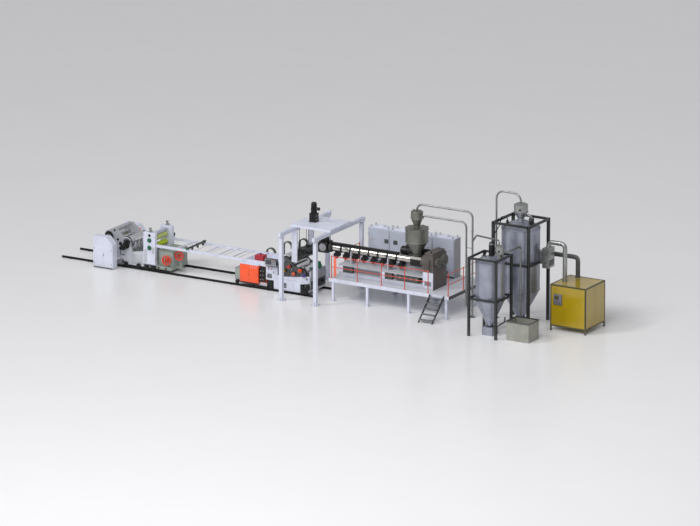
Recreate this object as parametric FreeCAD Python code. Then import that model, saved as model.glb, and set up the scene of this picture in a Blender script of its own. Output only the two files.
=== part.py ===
import FreeCAD, Part
import math
import os

# Film extrusion line, millimetres. X runs from the winder to the dryer, Y away
# from the operator, Z up from the floor. X = 0 is the rails' end under the gantry.

V = FreeCAD.Vector

# Clearances
bearing_gap = 0.3       # journal in its bearing, wheel over its rail
run_gap = 20.0          # moving carriage above the floor

# Floor rails
rail_length = 14000.0
rail_gauge = 1600.0
rail_height = 90.0
rail_foot = 110.0
rail_head = 60.0

# Web and rolls
web_half = 600.0        # half of a roll's face
journal_radius = 45.0
side_plate_in = 660.0   # inner face of the machine frames from the centre line
side_plate_out = 740.0
table_height = 1290.0   # running height of the film on the roller table

# Winder
winder_left = -11770.0
winder_right = -10680.0
winder_shoulder = -11010.0
winder_height = 1555.0
winder_nose = 1200.0
winder_cabinet_in = 1150.0
winder_cabinet_out = 1540.0
winder_base_left = -11000.0
winder_base_right = -9450.0
winder_base_top = 780.0
drum_x = -11370.0
drum_z = 1400.0
drum_radius = 285.0
spool_x = -10370.0
spool_z = 1270.0
spool_radius = 200.0
lay_on_x = -11060.0
lay_on_z = 1730.0
guide_x = -10880.0
guide_z = 1300.0

# Haul-off
haul_left = -9390.0
haul_right = -8740.0
haul_top = 1680.0
haul_bottom = 300.0
haul_roll_x = -9050.0
haul_upper_z = 1520.0
haul_lower_z = 1150.0
haul_roll_radius = 130.0
haul_base_right = -7900.0
reel_wall = -600.0
reel_radius = 235.0

# Roller table
table_left = haul_right
table_right = -2650.0
table_half = 770.0
roller_pitch = 755.0
first_roller_x = -7670.0
table_rollers = 6
roller_radius = 35.0
slitter_x = -6980.0

# Calender
calender_left = -4030.0
calender_right = -240.0
orange_right = -3010.0
orange_bottom = 190.0
orange_top = 1110.0
cabinet_face = 850.0
roll_radius = 260.0
roll_places = {"top": (-1640.0, 1550.0), "middle": (-1270.0, 1170.0), "bottom": (-740.0, 1060.0)}
cover_thick = 60.0

# Gantry and die
gantry_left = -1070.0
gantry_right = 790.0
gantry_front = -1980.0
gantry_back = 2250.0
gantry_height = 3280.0
gantry_section = 170.0
beam_overhang = 200.0
die_x = -1080.0
die_half = 650.0
die_bottom = 1550.0
die_top = 2050.0
die_depth = 330.0
die_post_in = 710.0
die_post_thick = 80.0
die_post_width = 280.0
trolley_front = -850.0
trolley_back = 450.0
trolley_thick = 120.0

# Extruder
screw_z = 2330.0
barrel_left = 460.0
barrel_right = 5450.0
barrel_radius = 165.0
zone_count = 8
zone_pitch = 500.0
first_zone_x = 800.0
band_radius = 195.0
band_width = 60.0
blower_radius = 125.0
blower_length = 150.0
base_left = 1130.0
base_half = 400.0
base_top = 1700.0
gearbox_left = 5670.0
gearbox_right = 6210.0
gearbox_back = 850.0
gearbox_bottom = 1950.0
gearbox_top = 2860.0
motor_y = 500.0
motor_z = 2560.0
motor_radius = 215.0
motor_seat_top = 2250.0
hopper_x = 5110.0
hopper_radius = 540.0
hopper_top = 3890.0
hopper_knee = 3260.0
hopper_mouth = 110.0
hopper_wall = 6.0

# Platform
deck_left = 880.0
deck_right = 7360.0
deck_front = -930.0
deck_back = 2620.0
deck_top = 1100.0
deck_beam = 170.0
deck_plate = 12.0
leg_section = 110.0
leg_columns = (1090.0, 2940.0, 5170.0, 7190.0)
leg_rows = (-850.0, 1740.0, 2500.0)
rail_rise = 1080.0
post_radius = 22.0
rail_radius = 17.0
ladder_left = 6370.0
ladder_right = 7100.0
ladder_reach = 1150.0

# Electric cabinets
cabinet_count = 4
cabinet_left = 1370.0
cabinet_pitch = 1162.5
cabinet_front = 1900.0
cabinet_depth = 600.0
cabinet_height = 1900.0
door_thick = 30.0
door_side = 25.0
door_gap = 6.0
hinge_radius = 14.0
hinge_pin = 6.0
hinge_height = 80.0
hinge_inset = 250.0

# Small silo
small = {"x": 10210.0, "y": -2065.0, "radius": 680.0, "top": 3480.0, "bottom": 1650.0,
         "outlet": 390.0, "outlet_radius": 130.0, "dome": 260.0,
         "half": 745.0, "post_top": 3760.0, "ring": 1800.0, "post": 60.0}

# Large silo
large = {"x": 10380.0, "y": 490.0, "radius": 895.0, "top": 4540.0, "bottom": 1570.0,
         "outlet": 230.0, "outlet_radius": 170.0, "dome": 330.0,
         "half": 970.0, "post_top": 4900.0, "ring": 3000.0, "post": 70.0}
silo_wall = 6.0
silo_rim = 20.0

# Bin, dryer and ducts
bin_left = 11330.0
bin_right = 12510.0
bin_front = -2520.0
bin_back = -1560.0
bin_height = 910.0
bin_wall = 8.0
dryer_left = 12230.0
dryer_right = 14100.0
dryer_front = 0.0
dryer_back = 1860.0
dryer_bottom = 210.0
dryer_top = 2200.0
dryer_edge = 60.0
duct_radius = 105.0
pipe_radius = 45.0


def box(x0, x1, y0, y1, z0, z1):
    return Part.makeBox(x1 - x0, y1 - y0, z1 - z0, V(x0, y0, z0))


def rod(start, end, radius):
    a = V(*start)
    along = V(*end) - a
    return Part.makeCylinder(radius, along.Length, a, along)


def across(x, z, radius, y0, y1):
    return rod((x, y0, z), (x, y1, z), radius)


def plate_y(outline, y0, y1):
    corners = [V(x, y0, z) for x, z in outline]
    face = Part.Face(Part.makePolygon(corners + corners[:1]))
    return face.extrude(V(0, y1 - y0, 0))


def plate_x(outline, x0, x1):
    corners = [V(x0, y, z) for y, z in outline]
    face = Part.Face(Part.makePolygon(corners + corners[:1]))
    return face.extrude(V(x1 - x0, 0, 0))


def turned(outline, x, y):
    corners = [V(x + r, y, z) for r, z in outline]
    face = Part.Face(Part.makePolygon(corners + corners[:1]))
    return face.revolve(V(x, y, 0), V(0, 0, 1), 360)


def fused(pieces):
    whole = pieces[0]
    if len(pieces) > 1:
        whole = whole.fuse(pieces[1:])
    return whole.removeSplitter()


def mirrored(shape):
    return shape.mirror(V(0, 0, 0), V(0, 1, 0))


def pipe(points, radius, bend):
    # Straight runs joined by tangent arcs, swept with a round section
    path = [V(*p) for p in points]
    edges = []
    start = path[0]
    for before, corner, after in zip(path, path[1:], path[2:]):
        inward = (corner - before).normalize()
        outward = (after - corner).normalize()
        turn = inward.getAngle(outward)
        cut = bend * math.tan(turn / 2)
        a = corner - inward * cut
        b = corner + outward * cut
        middle = corner + (outward - inward).normalize() * bend * (1 / math.cos(turn / 2) - 1)
        edges.append(Part.LineSegment(start, a).toShape())
        edges.append(Part.Arc(a, middle, b).toShape())
        start = b
    edges.append(Part.LineSegment(start, path[-1]).toShape())
    section = Part.Wire([Part.makeCircle(radius, path[0], path[1] - path[0])])
    return Part.Wire(edges).makePipeShell([section], True, True)


nodes = {}


def add(name, *pieces):
    nodes[name] = pieces[0] if len(pieces) == 1 else Part.makeCompound(list(pieces))


def roll(x, z, radius, face_half, journal_end):
    body = across(x, z, radius, -face_half, face_half)
    shaft = across(x, z, journal_radius, -journal_end, journal_end)
    return fused([body, shaft])


def journal_bore(x, z, y0, y1):
    return across(x, z, journal_radius + bearing_gap, y0, y1)


# Floor rails
def floor_rail(y):
    foot = rail_foot / 2
    head = rail_head / 2
    web = 12.0
    outline = [(-foot, 0), (foot, 0), (foot, 14), (web, 24), (web, 60), (head, 68),
               (head, rail_height), (-head, rail_height), (-head, 68), (-web, 60),
               (-web, 24), (-foot, 14)]
    return plate_x([(y + dy, z) for dy, z in outline], -rail_length, 0)


add("floor_rails", floor_rail(-rail_gauge / 2), floor_rail(rail_gauge / 2))

wheel_radius = 100.0
wheel_z = rail_height + bearing_gap + wheel_radius


def wheel(x, y):
    tread = across(x, wheel_z, wheel_radius, y - 35, y + 35)
    hub = across(x, wheel_z, 40, y - 60, y + 60)
    return fused([tread, hub])


# Winder
def winder_cabinet():
    outline = [(winder_left, run_gap), (winder_right, run_gap), (winder_right, winder_nose),
               (winder_shoulder, winder_height), (winder_left, winder_height)]
    shell = plate_y(outline, -winder_cabinet_out, -winder_cabinet_in)
    return shell


add("winder_cabinets", winder_cabinet(), mirrored(winder_cabinet()))

winder_plate = [(winder_base_left, 150), (winder_base_right, 150), (winder_base_right, 900),
                (spool_x + 260, winder_base_top), (spool_x + 150, spool_z + 120),
                (spool_x - 120, spool_z + 120), (guide_x - 60, lay_on_z + 80),
                (lay_on_x - 120, lay_on_z + 80), (drum_x - 150, drum_z + 150),
                (winder_left + 60, drum_z - 100), (winder_left + 60, 250), (winder_base_left, 250)]


def winder_side(y0, y1):
    plate = plate_y(winder_plate, y0, y1)
    for x, z in ((drum_x, drum_z), (spool_x, spool_z)):
        plate = plate.cut(journal_bore(x, z, y0 - 1, y1 + 1))
    return plate


winder_bed = box(winder_left + 60, winder_base_right, -side_plate_in, side_plate_in, 250, 330)
winder_panel = box(winder_base_left, winder_base_right, -side_plate_in, side_plate_in,
                   330, winder_base_top)
winder_ties = [across(guide_x, guide_z, 60, -side_plate_in, side_plate_in),
               across(lay_on_x, lay_on_z, 45, -side_plate_in, side_plate_in)]
winder_links = [box(winder_left + 60, winder_right, y0, y1, 400, 520)
                for y0, y1 in ((-winder_cabinet_in, -side_plate_out),
                               (side_plate_out, winder_cabinet_in))]
add("winder_base", fused([winder_bed, winder_panel, winder_side(-side_plate_out, -side_plate_in),
                          winder_side(side_plate_in, side_plate_out)] + winder_ties
                         + winder_links))

drum_end = side_plate_out + 40.0
add("winding_drum", roll(drum_x, drum_z, drum_radius, web_half + 20, drum_end))
add("film_spool", roll(spool_x, spool_z, spool_radius, web_half + 20, drum_end))


def spool_arm(y):
    outer = across(spool_x + 30, spool_z - 60, 330, y - 15, y + 15)
    inner = across(spool_x + 30, spool_z - 60, 270, y - 16, y + 16)
    ring = outer.cut(inner)
    keep = box(spool_x + 30, spool_x + 400, y - 20, y + 20, winder_base_top, spool_z - 60)
    foot = box(spool_x + 30, spool_x + 180, y - 15, y + 15, winder_base_top, winder_base_top + 130)
    return fused([ring.common(keep), foot.cut(inner)])


add("winder_arms", *[spool_arm(-480.0 + 320.0 * i) for i in range(4)])


def winder_drive():
    body = across(spool_x, 1060, 130, -side_plate_out - 330, -side_plate_out)
    fan = across(spool_x, 1060, 150, -side_plate_out - 390, -side_plate_out - 330)
    belt = plate_y([(spool_x - 90, 1000), (spool_x + 90, 1000), (spool_x + 70, spool_z + 70),
                    (spool_x - 70, spool_z + 70)], -side_plate_out - 110, -side_plate_out - 50)
    hole = across(spool_x, spool_z, journal_radius + 8, -2000, 0)
    return fused([body, fan, belt.cut(hole)])


add("winder_motor", winder_drive())


# Haul-off
def haul_column():
    column = box(haul_left, haul_right, -cabinet_face, -side_plate_in, haul_bottom, haul_top)
    for z in (haul_upper_z, haul_lower_z):
        column = column.cut(journal_bore(haul_roll_x, z, -cabinet_face - 1, -side_plate_in + 1))
    return column


haul_end = cabinet_face - 20.0
add("haul_off_upper_roll", roll(haul_roll_x, haul_upper_z, haul_roll_radius, web_half, haul_end))
add("haul_off_lower_roll", roll(haul_roll_x, haul_lower_z, haul_roll_radius, web_half, haul_end))


def haul_cylinder(y):
    body = rod((haul_roll_x, y, haul_top), (haul_roll_x, y, haul_top + 300), 55)
    foot = box(haul_roll_x - 80, haul_roll_x + 80, y - 70, y + 70, haul_top, haul_top + 40)
    return fused([body, foot])


haul_tie = box(haul_roll_x - 60, haul_roll_x + 60, -cabinet_face, cabinet_face,
               haul_top, haul_top + 140)
cylinder_y = (side_plate_in + cabinet_face) / 2
add("haul_off_columns", fused([haul_column(), mirrored(haul_column()), haul_tie,
                               haul_cylinder(-cylinder_y), haul_cylinder(cylinder_y)]))

haul_bed = box(haul_left - 60, haul_base_right, -side_plate_out, side_plate_out, 150, haul_bottom)
haul_body = box(haul_right + 60, haul_base_right, reel_wall, 700, haul_bottom, 1040)


def trim_reel(x, y, z, seat):
    rim = across(x, z, reel_radius, y - 45, y + 45)
    rim = rim.cut(across(x, z, reel_radius - 40, y - 46, y + 46))
    parts = [rim, across(x, z, 60, y - 60, seat)]
    for i in range(6):
        spoke = box(x, x + reel_radius - 20, y - 25, y + 25, z - 18, z + 18)
        spoke.rotate(V(x, y, z), V(0, 1, 0), 60.0 * i)
        parts.append(spoke)
    return fused(parts)


reel_y = reel_wall - 160.0
far_reel_x = -7640.0
far_reel_y = reel_y + 300.0
far_reel_seat = far_reel_y + 120.0
add("trim_reels", trim_reel(-8160.0, reel_y, 640.0, reel_wall),
    trim_reel(far_reel_x, far_reel_y, 870.0, far_reel_seat))
reel_post = box(far_reel_x - 40, far_reel_x + 40, far_reel_seat, far_reel_seat + 80, 210, 920)
reel_foot = box(haul_base_right, far_reel_x + 80, far_reel_seat - 40, far_reel_seat + 120,
                210, haul_bottom)
add("haul_off_base", fused([haul_bed, haul_body, reel_post, reel_foot]))


# Roller table
def table_rail(y0, y1):
    return box(table_left, table_right, y0, y1, table_height - 75, table_height + 45)


rail_wide = 50.0
table_in = table_half - rail_wide
idlers = [across(first_roller_x + roller_pitch * i, table_height - roller_radius, roller_radius,
                 -table_in, table_in) for i in range(table_rollers) if i != 1]
table_feet = [box(calender_left, table_right, y0, y1, orange_top, table_height - 75)
              for y0, y1 in ((-table_half, -table_in), (table_in, table_half))]
add("roller_table", fused([table_rail(-table_half, -table_in), table_rail(table_in, table_half)]
                          + table_feet + idlers))


def slitter():
    bar = box(slitter_x - 40, slitter_x + 40, -table_in, table_in, table_height + 60,
              table_height + 130)
    ends = [box(slitter_x - 70, slitter_x + 70, y0, y1, table_height + 45, table_height + 150)
            for y0, y1 in ((-table_half, -table_in + 10), (table_in - 10, table_half))]
    heads = []
    for y in (-480.0, 0.0, 480.0):
        heads.append(box(slitter_x + 40, slitter_x + 130, y - 45, y + 45, table_height + 50,
                         table_height + 170))
        heads.append(across(slitter_x + 90, table_height + 20, 60, y - 6, y + 6))
    return fused([bar] + ends + heads)


add("edge_slitter", slitter())


# Calender
def calender_bearing_stand(y0, y1):
    outline = [(-2050, 300), (-330, 300), (-330, 880), (-600, 1200), (-1080, 1330),
               (-1420, 1640), (-1700, 1730), (-1900, 1600), (-2050, 1200)]
    stand = plate_y(outline, y0, y1)
    for x, z in roll_places.values():
        stand = stand.cut(journal_bore(x, z, y0 - 1, y1 + 1))
    return stand


def calender_cover():
    outline = [(-2620, 510), (-2200, 510), (-2200, 110), (-760, 110), (-760, 520),
               (calender_right, 620), (calender_right, 960), (-900, 860), (-1700, 760),
               (-2000, 800), (-2000, 1250), (-2620, 1250)]
    return plate_y(outline, -side_plate_out - cover_thick, -side_plate_out)


add("calender_bearing_stands", calender_bearing_stand(-side_plate_out, -side_plate_in),
    calender_bearing_stand(side_plate_in, side_plate_out))
add("calender_side_covers", calender_cover(), mirrored(calender_cover()))
calender_bed = box(calender_left - 300, -300, -side_plate_out, side_plate_out, 150, 300)
calender_box = box(-2600, -2080, -side_plate_in, side_plate_in, 300, 1150)
calender_end = box(-330, calender_right, -side_plate_in, side_plate_in, 300, 1150)
calender_low = box(-1980, -330, -600, 600, 300, 560)
add("calender_base", fused([calender_bed, calender_box, calender_end, calender_low]))
for name, (x, z) in roll_places.items():
    add("calender_roll_" + name, roll(x, z, roll_radius, web_half, side_plate_out + 30))

orange_body = box(calender_left, table_right, -side_plate_out, side_plate_out, 300, orange_top)
orange_front = box(calender_left, orange_right, -cabinet_face, -side_plate_out, orange_bottom,
                   orange_top)
add("orange_cabinet", fused([orange_body, orange_front]))
add("control_boxes", box(calender_left - 300, calender_left, -cabinet_face + 50, 300, 300, 860),
    box(-2560, -1960, -1010, -side_plate_out - cover_thick, 1260, 1570),
    box(-2560, -1990, -1010 + 120, -side_plate_out - cover_thick, 1180, 1260))


def roll_drive(x, z):
    flange = across(x, z, 75, -side_plate_out - 60, -side_plate_out)
    body = across(x, z, 60, -side_plate_out - 220, -side_plate_out - 60)
    return fused([flange, body])


drive_places = ((-1310, 1320), (-1580, 1080), (-1060, 1010), (-700, 1250 - 35), (-480, 1010))


def roll_hood(x, z, seat, y0, y1):
    ring = across(x, z, 250, y0, y1).cut(across(x, z, 205, y0 - 1, y1 + 1))
    keep = box(x - 260, x + 260, y0, y1, z - 60, z + 260)
    post = box(x - 250, x - 205, y0, y1, 210, z)
    foot = box(x - 250, x - 205, seat, y1, 210, 300)
    return fused([ring.common(keep), post, foot])


hood_in = side_plate_out + cover_thick
add("roll_drives", *([roll_drive(x, z) for x, z in drive_places]
                     + [roll_hood(x, z, seat, hood_in, hood_in + 150)
                        for x, z, seat in ((-3360, 1300, side_plate_out),
                                           (-2430, 1740, side_plate_out),
                                           (-1560, 2000, hood_in))]))
add("carriage_wheels", *[wheel(x, y) for y in (-rail_gauge / 2, rail_gauge / 2)
                         for x in (-10400, -9700, -9250, -8850, -4200, -2450, -600)])


# Gantry
def gantry_post(x, y):
    h = gantry_section / 2
    top = gantry_height - gantry_section
    post = box(x - h, x + h, y - h, y + h, 20, top - 20)
    foot = box(x - 2 * h, x + 2 * h, y - 2 * h, y + 2 * h, 0, 20)
    head = box(x - 1.5 * h, x + 1.5 * h, y - 1.5 * h, y + 1.5 * h, top - 20, top)
    return fused([post, foot, head])


add("gantry_posts", *[gantry_post(x, y) for x in (gantry_left, gantry_right)
                      for y in (gantry_front, gantry_back)])
half = gantry_section / 2
add("gantry_beams", *[box(x - half, x + half, gantry_front - beam_overhang,
                          gantry_back + beam_overhang, gantry_height - gantry_section,
                          gantry_height) for x in (gantry_left, gantry_right)])

trolley_top = gantry_height + trolley_thick


def die_post(y0, y1):
    w = die_post_width / 2
    return box(die_x - w, die_x + w, y0, y1, die_bottom, gantry_height - gantry_section)


trolley_plate = box(gantry_left - 150, gantry_right + 150, trolley_front, trolley_back,
                    gantry_height, trolley_top)
trolley_bars = [box(x - 40, x + 40, trolley_back, 1200, gantry_height, gantry_height + 80)
                for x in (gantry_left, gantry_right)]
trolley_cross = [box(gantry_left - 40, gantry_right + 40, y - 40, y + 40, gantry_height,
                     gantry_height + 80) for y in (750, 1160)]
post_out = die_post_in + die_post_thick
add("die_trolley", fused([trolley_plate] + trolley_bars + trolley_cross),
    die_post(-post_out, -die_post_in), die_post(die_post_in, post_out))

hoist_x = -530.0
hoist_y = 100.0
hoist_gear = box(hoist_x - 170, hoist_x + 170, hoist_y - 150, hoist_y + 150, trolley_top,
                 trolley_top + 420)
hoist_barrel = rod((hoist_x, hoist_y, trolley_top + 420), (hoist_x, hoist_y, trolley_top + 880),
                   130)
hoist_side = rod((hoist_x, hoist_y, trolley_top + 640), (hoist_x + 260, hoist_y,
                                                         trolley_top + 640), 70)
add("hoist_motor", fused([hoist_gear, hoist_barrel, hoist_side]))

# Die and melt pump
die_outline = [(die_x - 20, die_bottom), (die_x + 20, die_bottom), (die_x + die_depth / 2, 1700),
               (die_x + die_depth / 2, die_top), (die_x - die_depth / 2, die_top),
               (die_x - die_depth / 2, 1700)]
die_body = plate_y(die_outline, -die_half, die_half)
die_lugs = [box(die_x - 60, die_x + 60, y0, y1, 1800, 1950)
            for y0, y1 in ((-die_post_in, -die_half), (die_half, die_post_in))]
add("die", fused([die_body] + die_lugs))
pump_left = -100.0
pump_right = 400.0
pump = box(pump_left, pump_right, -260, 260, screw_z - 260, screw_z + 260)
pump_neck = rod((pump_right, 0, screw_z), (barrel_left, 0, screw_z), 130)
pump_cap = box(0, 280, -140, 140, screw_z + 260, screw_z + 420)
melt_pipe = pipe([(die_x + die_depth / 2, 0, 1880), (-560, 0, 1880), (-560, 0, screw_z),
                  (pump_left, 0, screw_z)], 70, 150)
add("melt_pump", fused([pump, pump_neck, pump_cap, melt_pipe]))

# Extruder
barrel = rod((barrel_left, 0, screw_z), (barrel_right, 0, screw_z), barrel_radius)
throat = box(hopper_x - 240, barrel_right, -220, 220, screw_z - 220, screw_z + 220)
add("barrel", fused([barrel, throat]))


def heater_band(x):
    ring = rod((x, 0, screw_z), (x + band_width, 0, screw_z), band_radius)
    return ring.cut(rod((x - 1, 0, screw_z), (x + band_width + 1, 0, screw_z), barrel_radius))


def blower(x):
    z = screw_z - barrel_radius - 30 - blower_radius
    drum = across(x, z, blower_radius, -blower_length, blower_length)
    duct = box(x - 70, x + 70, -90, 90, z + 60, screw_z - barrel_radius + 40)
    core = rod((x - 100, 0, screw_z), (x + 100, 0, screw_z), barrel_radius)
    return fused([drum, duct]).cut(core)


zones = [first_zone_x + zone_pitch * i for i in range(zone_count)]
add("heating_zones", *([heater_band(x - zone_pitch / 2) for x in zones]
                       + [blower(x) for x in zones]))


def base_frame():
    low = box(base_left, gearbox_right, -base_half, base_half, deck_top, deck_top + 220)
    top = box(base_left, gearbox_left, -base_half, base_half, base_top - 60, base_top)
    posts = [box(x, x + 200, -base_half, base_half, deck_top + 220, base_top - 60)
             for x in (base_left, 3400.0)]
    block = box(gearbox_left, gearbox_right, -base_half, gearbox_back, deck_top, gearbox_bottom)
    motor_seat = box(4000, gearbox_left, motor_y - 210, motor_y + 210, deck_top, motor_seat_top)
    saddles = [box(x - 25, x + 25, -180, 180, base_top, screw_z)
               .cut(rod((x - 26, 0, screw_z), (x + 26, 0, screw_z), barrel_radius))
               for x in (zones[2] - 155, zones[6] - 155)]
    return fused([low, top, block, motor_seat] + posts + saddles)


add("extruder_base", base_frame())
gearbox_case = box(gearbox_left, gearbox_right, -base_half, gearbox_back, gearbox_bottom,
                   gearbox_top - 120)
gearbox_nose = rod((barrel_right, 0, screw_z), (gearbox_left, 0, screw_z), 260)
gearbox_cap = box(gearbox_left + 60, gearbox_right - 60, -base_half + 60, gearbox_back - 60,
                  gearbox_top - 120, gearbox_top)
belt_guard = fused([rod((gearbox_right, y, screw_z + 60), (gearbox_right + 130, y, screw_z + 60),
                        r) for y, r in ((-60.0, 230.0), (motor_y, 280.0))])
add("gearbox", fused([gearbox_case, gearbox_nose, gearbox_cap, belt_guard]))
motor_body = rod((4050, motor_y, motor_z), (gearbox_left, motor_y, motor_z), motor_radius)
motor_box = box(4300, 4600, motor_y - 120, motor_y + 120, motor_z + 180, motor_z + 310)
motor_feet = [box(x, x + 120, motor_y - 190, motor_y + 190, motor_seat_top, motor_z)
              for x in (4250, 5350)]
add("main_motor", fused([motor_body, motor_box] + motor_feet))


def cone_shell(x, y, radius, top, knee, mouth, bottom, wall):
    outer = [(0, bottom), (mouth, bottom), (radius, knee), (radius, top), (0, top)]
    inner = [(0, bottom), (mouth - wall, bottom), (radius - wall, knee), (radius - wall, top),
             (0, top)]
    return turned(outer, x, y).cut(turned(inner, x, y))


throat_top = screw_z + 220
add("feed_hopper", cone_shell(hopper_x, 0, hopper_radius, hopper_top, hopper_knee,
                              hopper_mouth, throat_top, hopper_wall))


def hopper_loader():
    lid = [(0, hopper_top), (hopper_radius, hopper_top), (hopper_radius, hopper_top + 25),
           (140, hopper_top + 60), (140, hopper_top + 130), (290, hopper_top + 480),
           (290, hopper_top + 780), (240, hopper_top + 830), (0, hopper_top + 830)]
    return turned(lid, hopper_x, 0)


add("hopper_loader", hopper_loader())


# Platform
def deck():
    plate = box(deck_left, deck_right, deck_front, deck_back, deck_top - deck_plate, deck_top)
    low = deck_top - deck_beam
    under = deck_top - deck_plate
    beams = [box(deck_left, deck_right, y0, y0 + 80, low, under)
             for y0 in (deck_front, leg_rows[1] - 40, deck_back - 80)]
    beams += [box(x0, x0 + 80, deck_front, deck_back, low, under)
              for x0 in [deck_left, deck_right - 80] + [x - 40 for x in leg_columns[1:3]]]
    return fused([plate] + beams)


add("platform_deck", deck())


def leg(x, y):
    h = leg_section / 2
    post = box(x - h, x + h, y - h, y + h, 20, deck_top - deck_beam)
    foot = box(x - 2 * h, x + 2 * h, y - 2 * h, y + 2 * h, 0, 20)
    return fused([post, foot])


add("platform_legs", *[leg(x, y) for y in leg_rows for x in leg_columns])


def rail_run(points):
    # Posts at every point, with a top and a middle rail between them
    parts = []
    for x, y in points:
        parts.append(rod((x, y, deck_top), (x, y, deck_top + rail_rise), post_radius))
    for (x0, y0), (x1, y1) in zip(points, points[1:]):
        for z in (deck_top + rail_rise - post_radius, deck_top + rail_rise / 2):
            parts.append(rod((x0, y0, z), (x1, y1, z), rail_radius))
    return fused(parts)


rail_y = deck_front + 60
add("handrails", rail_run([(x, rail_y) for x in (1000, 2400, 3700, 4960, 6220)]),
    rail_run([(deck_right - 60, y) for y in (rail_y, 540, 1900)]),
    rail_run([(deck_left + 40, y) for y in (500, 1175, 1850)]))


def ladder():
    drop = deck_top - 40
    parts = []
    for x in (ladder_left, ladder_right):
        side = plate_x([(deck_front, deck_top - 160), (deck_front, deck_top),
                        (deck_front - 60, deck_top), (deck_front - ladder_reach, 0),
                        (deck_front - ladder_reach + 110, 0)], x - 15, x + 15)
        parts.append(side)
    steps = 5
    for i in range(steps):
        z = drop * (i + 0.6) / steps
        y = deck_front - 30 - (ladder_reach - 30) * (1 - z / deck_top)
        parts.append(box(ladder_left, ladder_right, y - 60, y + 120, z - 15, z + 15))
    return fused(parts)


add("ladder", ladder())


# Electric cabinets
def cabinet(i):
    x0 = cabinet_left + cabinet_pitch * i
    x1 = x0 + cabinet_pitch
    body = box(x0, x1, cabinet_front, cabinet_front + cabinet_depth, deck_top,
               deck_top + cabinet_height)
    return body


door_low = deck_top + 100
door_high = deck_top + cabinet_height - 60
hinge_y = cabinet_front - door_gap - door_thick
hinge_heights = (door_low + hinge_inset, door_high - hinge_inset)


def hinge_x(i):
    return cabinet_left + cabinet_pitch * i + door_side - hinge_radius


def hinge_lugs(x, z):
    # Two lugs on the carcass with the pin between them
    parts = [rod((x, hinge_y, z - hinge_height / 2 - 20), (x, hinge_y, z + hinge_height / 2 + 20),
                 hinge_pin)]
    for z0 in (z - hinge_height / 2 - 20, z + hinge_height / 2 + bearing_gap):
        eye = Part.makeCylinder(hinge_pin + 4, 20 - bearing_gap, V(x, hinge_y, z0))
        arm = box(x - 8, x + 8, hinge_y, cabinet_front, z0, z0 + 20 - bearing_gap)
        parts += [eye, arm]
    return parts


def cabinet_door(i):
    x = hinge_x(i)
    leaf = box(x + hinge_radius, x + cabinet_pitch - 2 * door_side + hinge_radius, hinge_y,
               cabinet_front - door_gap, door_low, door_high)
    parts = [leaf]
    for z in hinge_heights:
        low = z - hinge_height / 2
        parts.append(Part.makeCylinder(hinge_radius, hinge_height, V(x, hinge_y, low)))
        parts.append(box(x, x + 70, hinge_y - 8, hinge_y, low, low + hinge_height))
    door = fused(parts)
    for z in hinge_heights:
        door = door.cut(Part.makeCylinder(hinge_pin + bearing_gap, hinge_height + 2,
                                          V(x, hinge_y, z - hinge_height / 2 - 1)))
    return door


carcass = [cabinet(i) for i in range(cabinet_count)]
for i in range(cabinet_count):
    for z in hinge_heights:
        carcass += hinge_lugs(hinge_x(i), z)
    add("cabinet_door_%d" % (i + 1), cabinet_door(i))
add("electric_cabinets", fused(carcass))


# Silos
def silo(name, s):
    x, y = s["x"], s["y"]
    r = s["radius"]
    shell = turned([(r - silo_wall, s["bottom"]), (r, s["bottom"]), (r, s["top"]),
                    (r - silo_wall, s["top"])], x, y)
    band = turned([(r, s["ring"] - 60), (r + silo_rim, s["ring"] - 60),
                   (r + silo_rim, s["ring"] + 60), (r, s["ring"] + 60)], x, y)
    add(name + "_shell", fused([shell, band]))
    top = s["top"]
    dome = [(0, top), (r + silo_rim, top), (r + silo_rim, top + 30), (r * 0.7, top + 0.55 * s["dome"]),
            (r * 0.3, top + s["dome"]), (0, top + s["dome"])]
    add(name + "_roof", turned(dome, x, y))
    low = s["outlet"]
    mouth = s["outlet_radius"]
    outer = [(0, low), (mouth, low), (r, s["bottom"]), (0, s["bottom"])]
    inner = [(0, low), (mouth - silo_wall, low), (r - silo_wall, s["bottom"]), (0, s["bottom"])]
    cone = turned(outer, x, y).cut(turned(inner, x, y))
    add(name + "_cone", cone)
    post = s["post"] / 2
    out = s["half"] - post
    parts = []
    for dx in (-out, out):
        for dy in (-out, out):
            parts.append(box(x + dx - post, x + dx + post, y + dy - post, y + dy + post, 0,
                             s["post_top"]))
            parts.append(box(x + dx - 2 * post, x + dx + 2 * post, y + dy - 2 * post,
                             y + dy + 2 * post, 0, 15))
    for z in (s["post_top"] - s["post"], s["ring"] - post):
        for d in (-out, out):
            parts.append(box(x - out, x + out, y + d - post, y + d + post, z, z + s["post"]))
            parts.append(box(x + d - post, x + d + post, y - out, y + out, z, z + s["post"]))
    frame = fused(parts)
    hole = Part.makeCylinder(r + silo_rim, 120, V(x, y, s["ring"] - 60))
    frames.append(frame.cut(hole))


frames = []
silo("small_silo", small)
silo("large_silo", large)
add("silo_frames", *frames)

small_top = small["top"] + small["dome"]
large_top = large["top"] + large["dome"]


def loader(x, y, z, radius, height):
    outline = [(0, z), (radius * 0.45, z), (radius * 0.45, z + 0.12 * height),
               (radius, z + 0.5 * height), (radius, z + 0.92 * height),
               (radius * 0.6, z + height), (0, z + height)]
    return turned(outline, x, y)


small_loader = loader(small["x"] + 480, small["y"], small["top"] + 60, 190, 760)
large_loader = loader(large["x"], large["y"], large_top, 330, 830)
large_blower = Part.makeCylinder(110, 420, V(large["x"] + 560, large["y"], large["top"] + 100))
add("silo_loaders", small_loader.cut(nodes["small_silo_roof"]),
    Part.makeCylinder(110, 620, V(small["x"] + 60, small["y"], small_top)),
    large_loader, large_blower.cut(nodes["large_silo_roof"]))


def outlet_box(s, half):
    return box(s["x"] - half, s["x"] + half, s["y"] - half, s["y"] + half, 0, s["outlet"])


add("silo_outlets", outlet_box(small, 270), outlet_box(large, 200))

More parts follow.
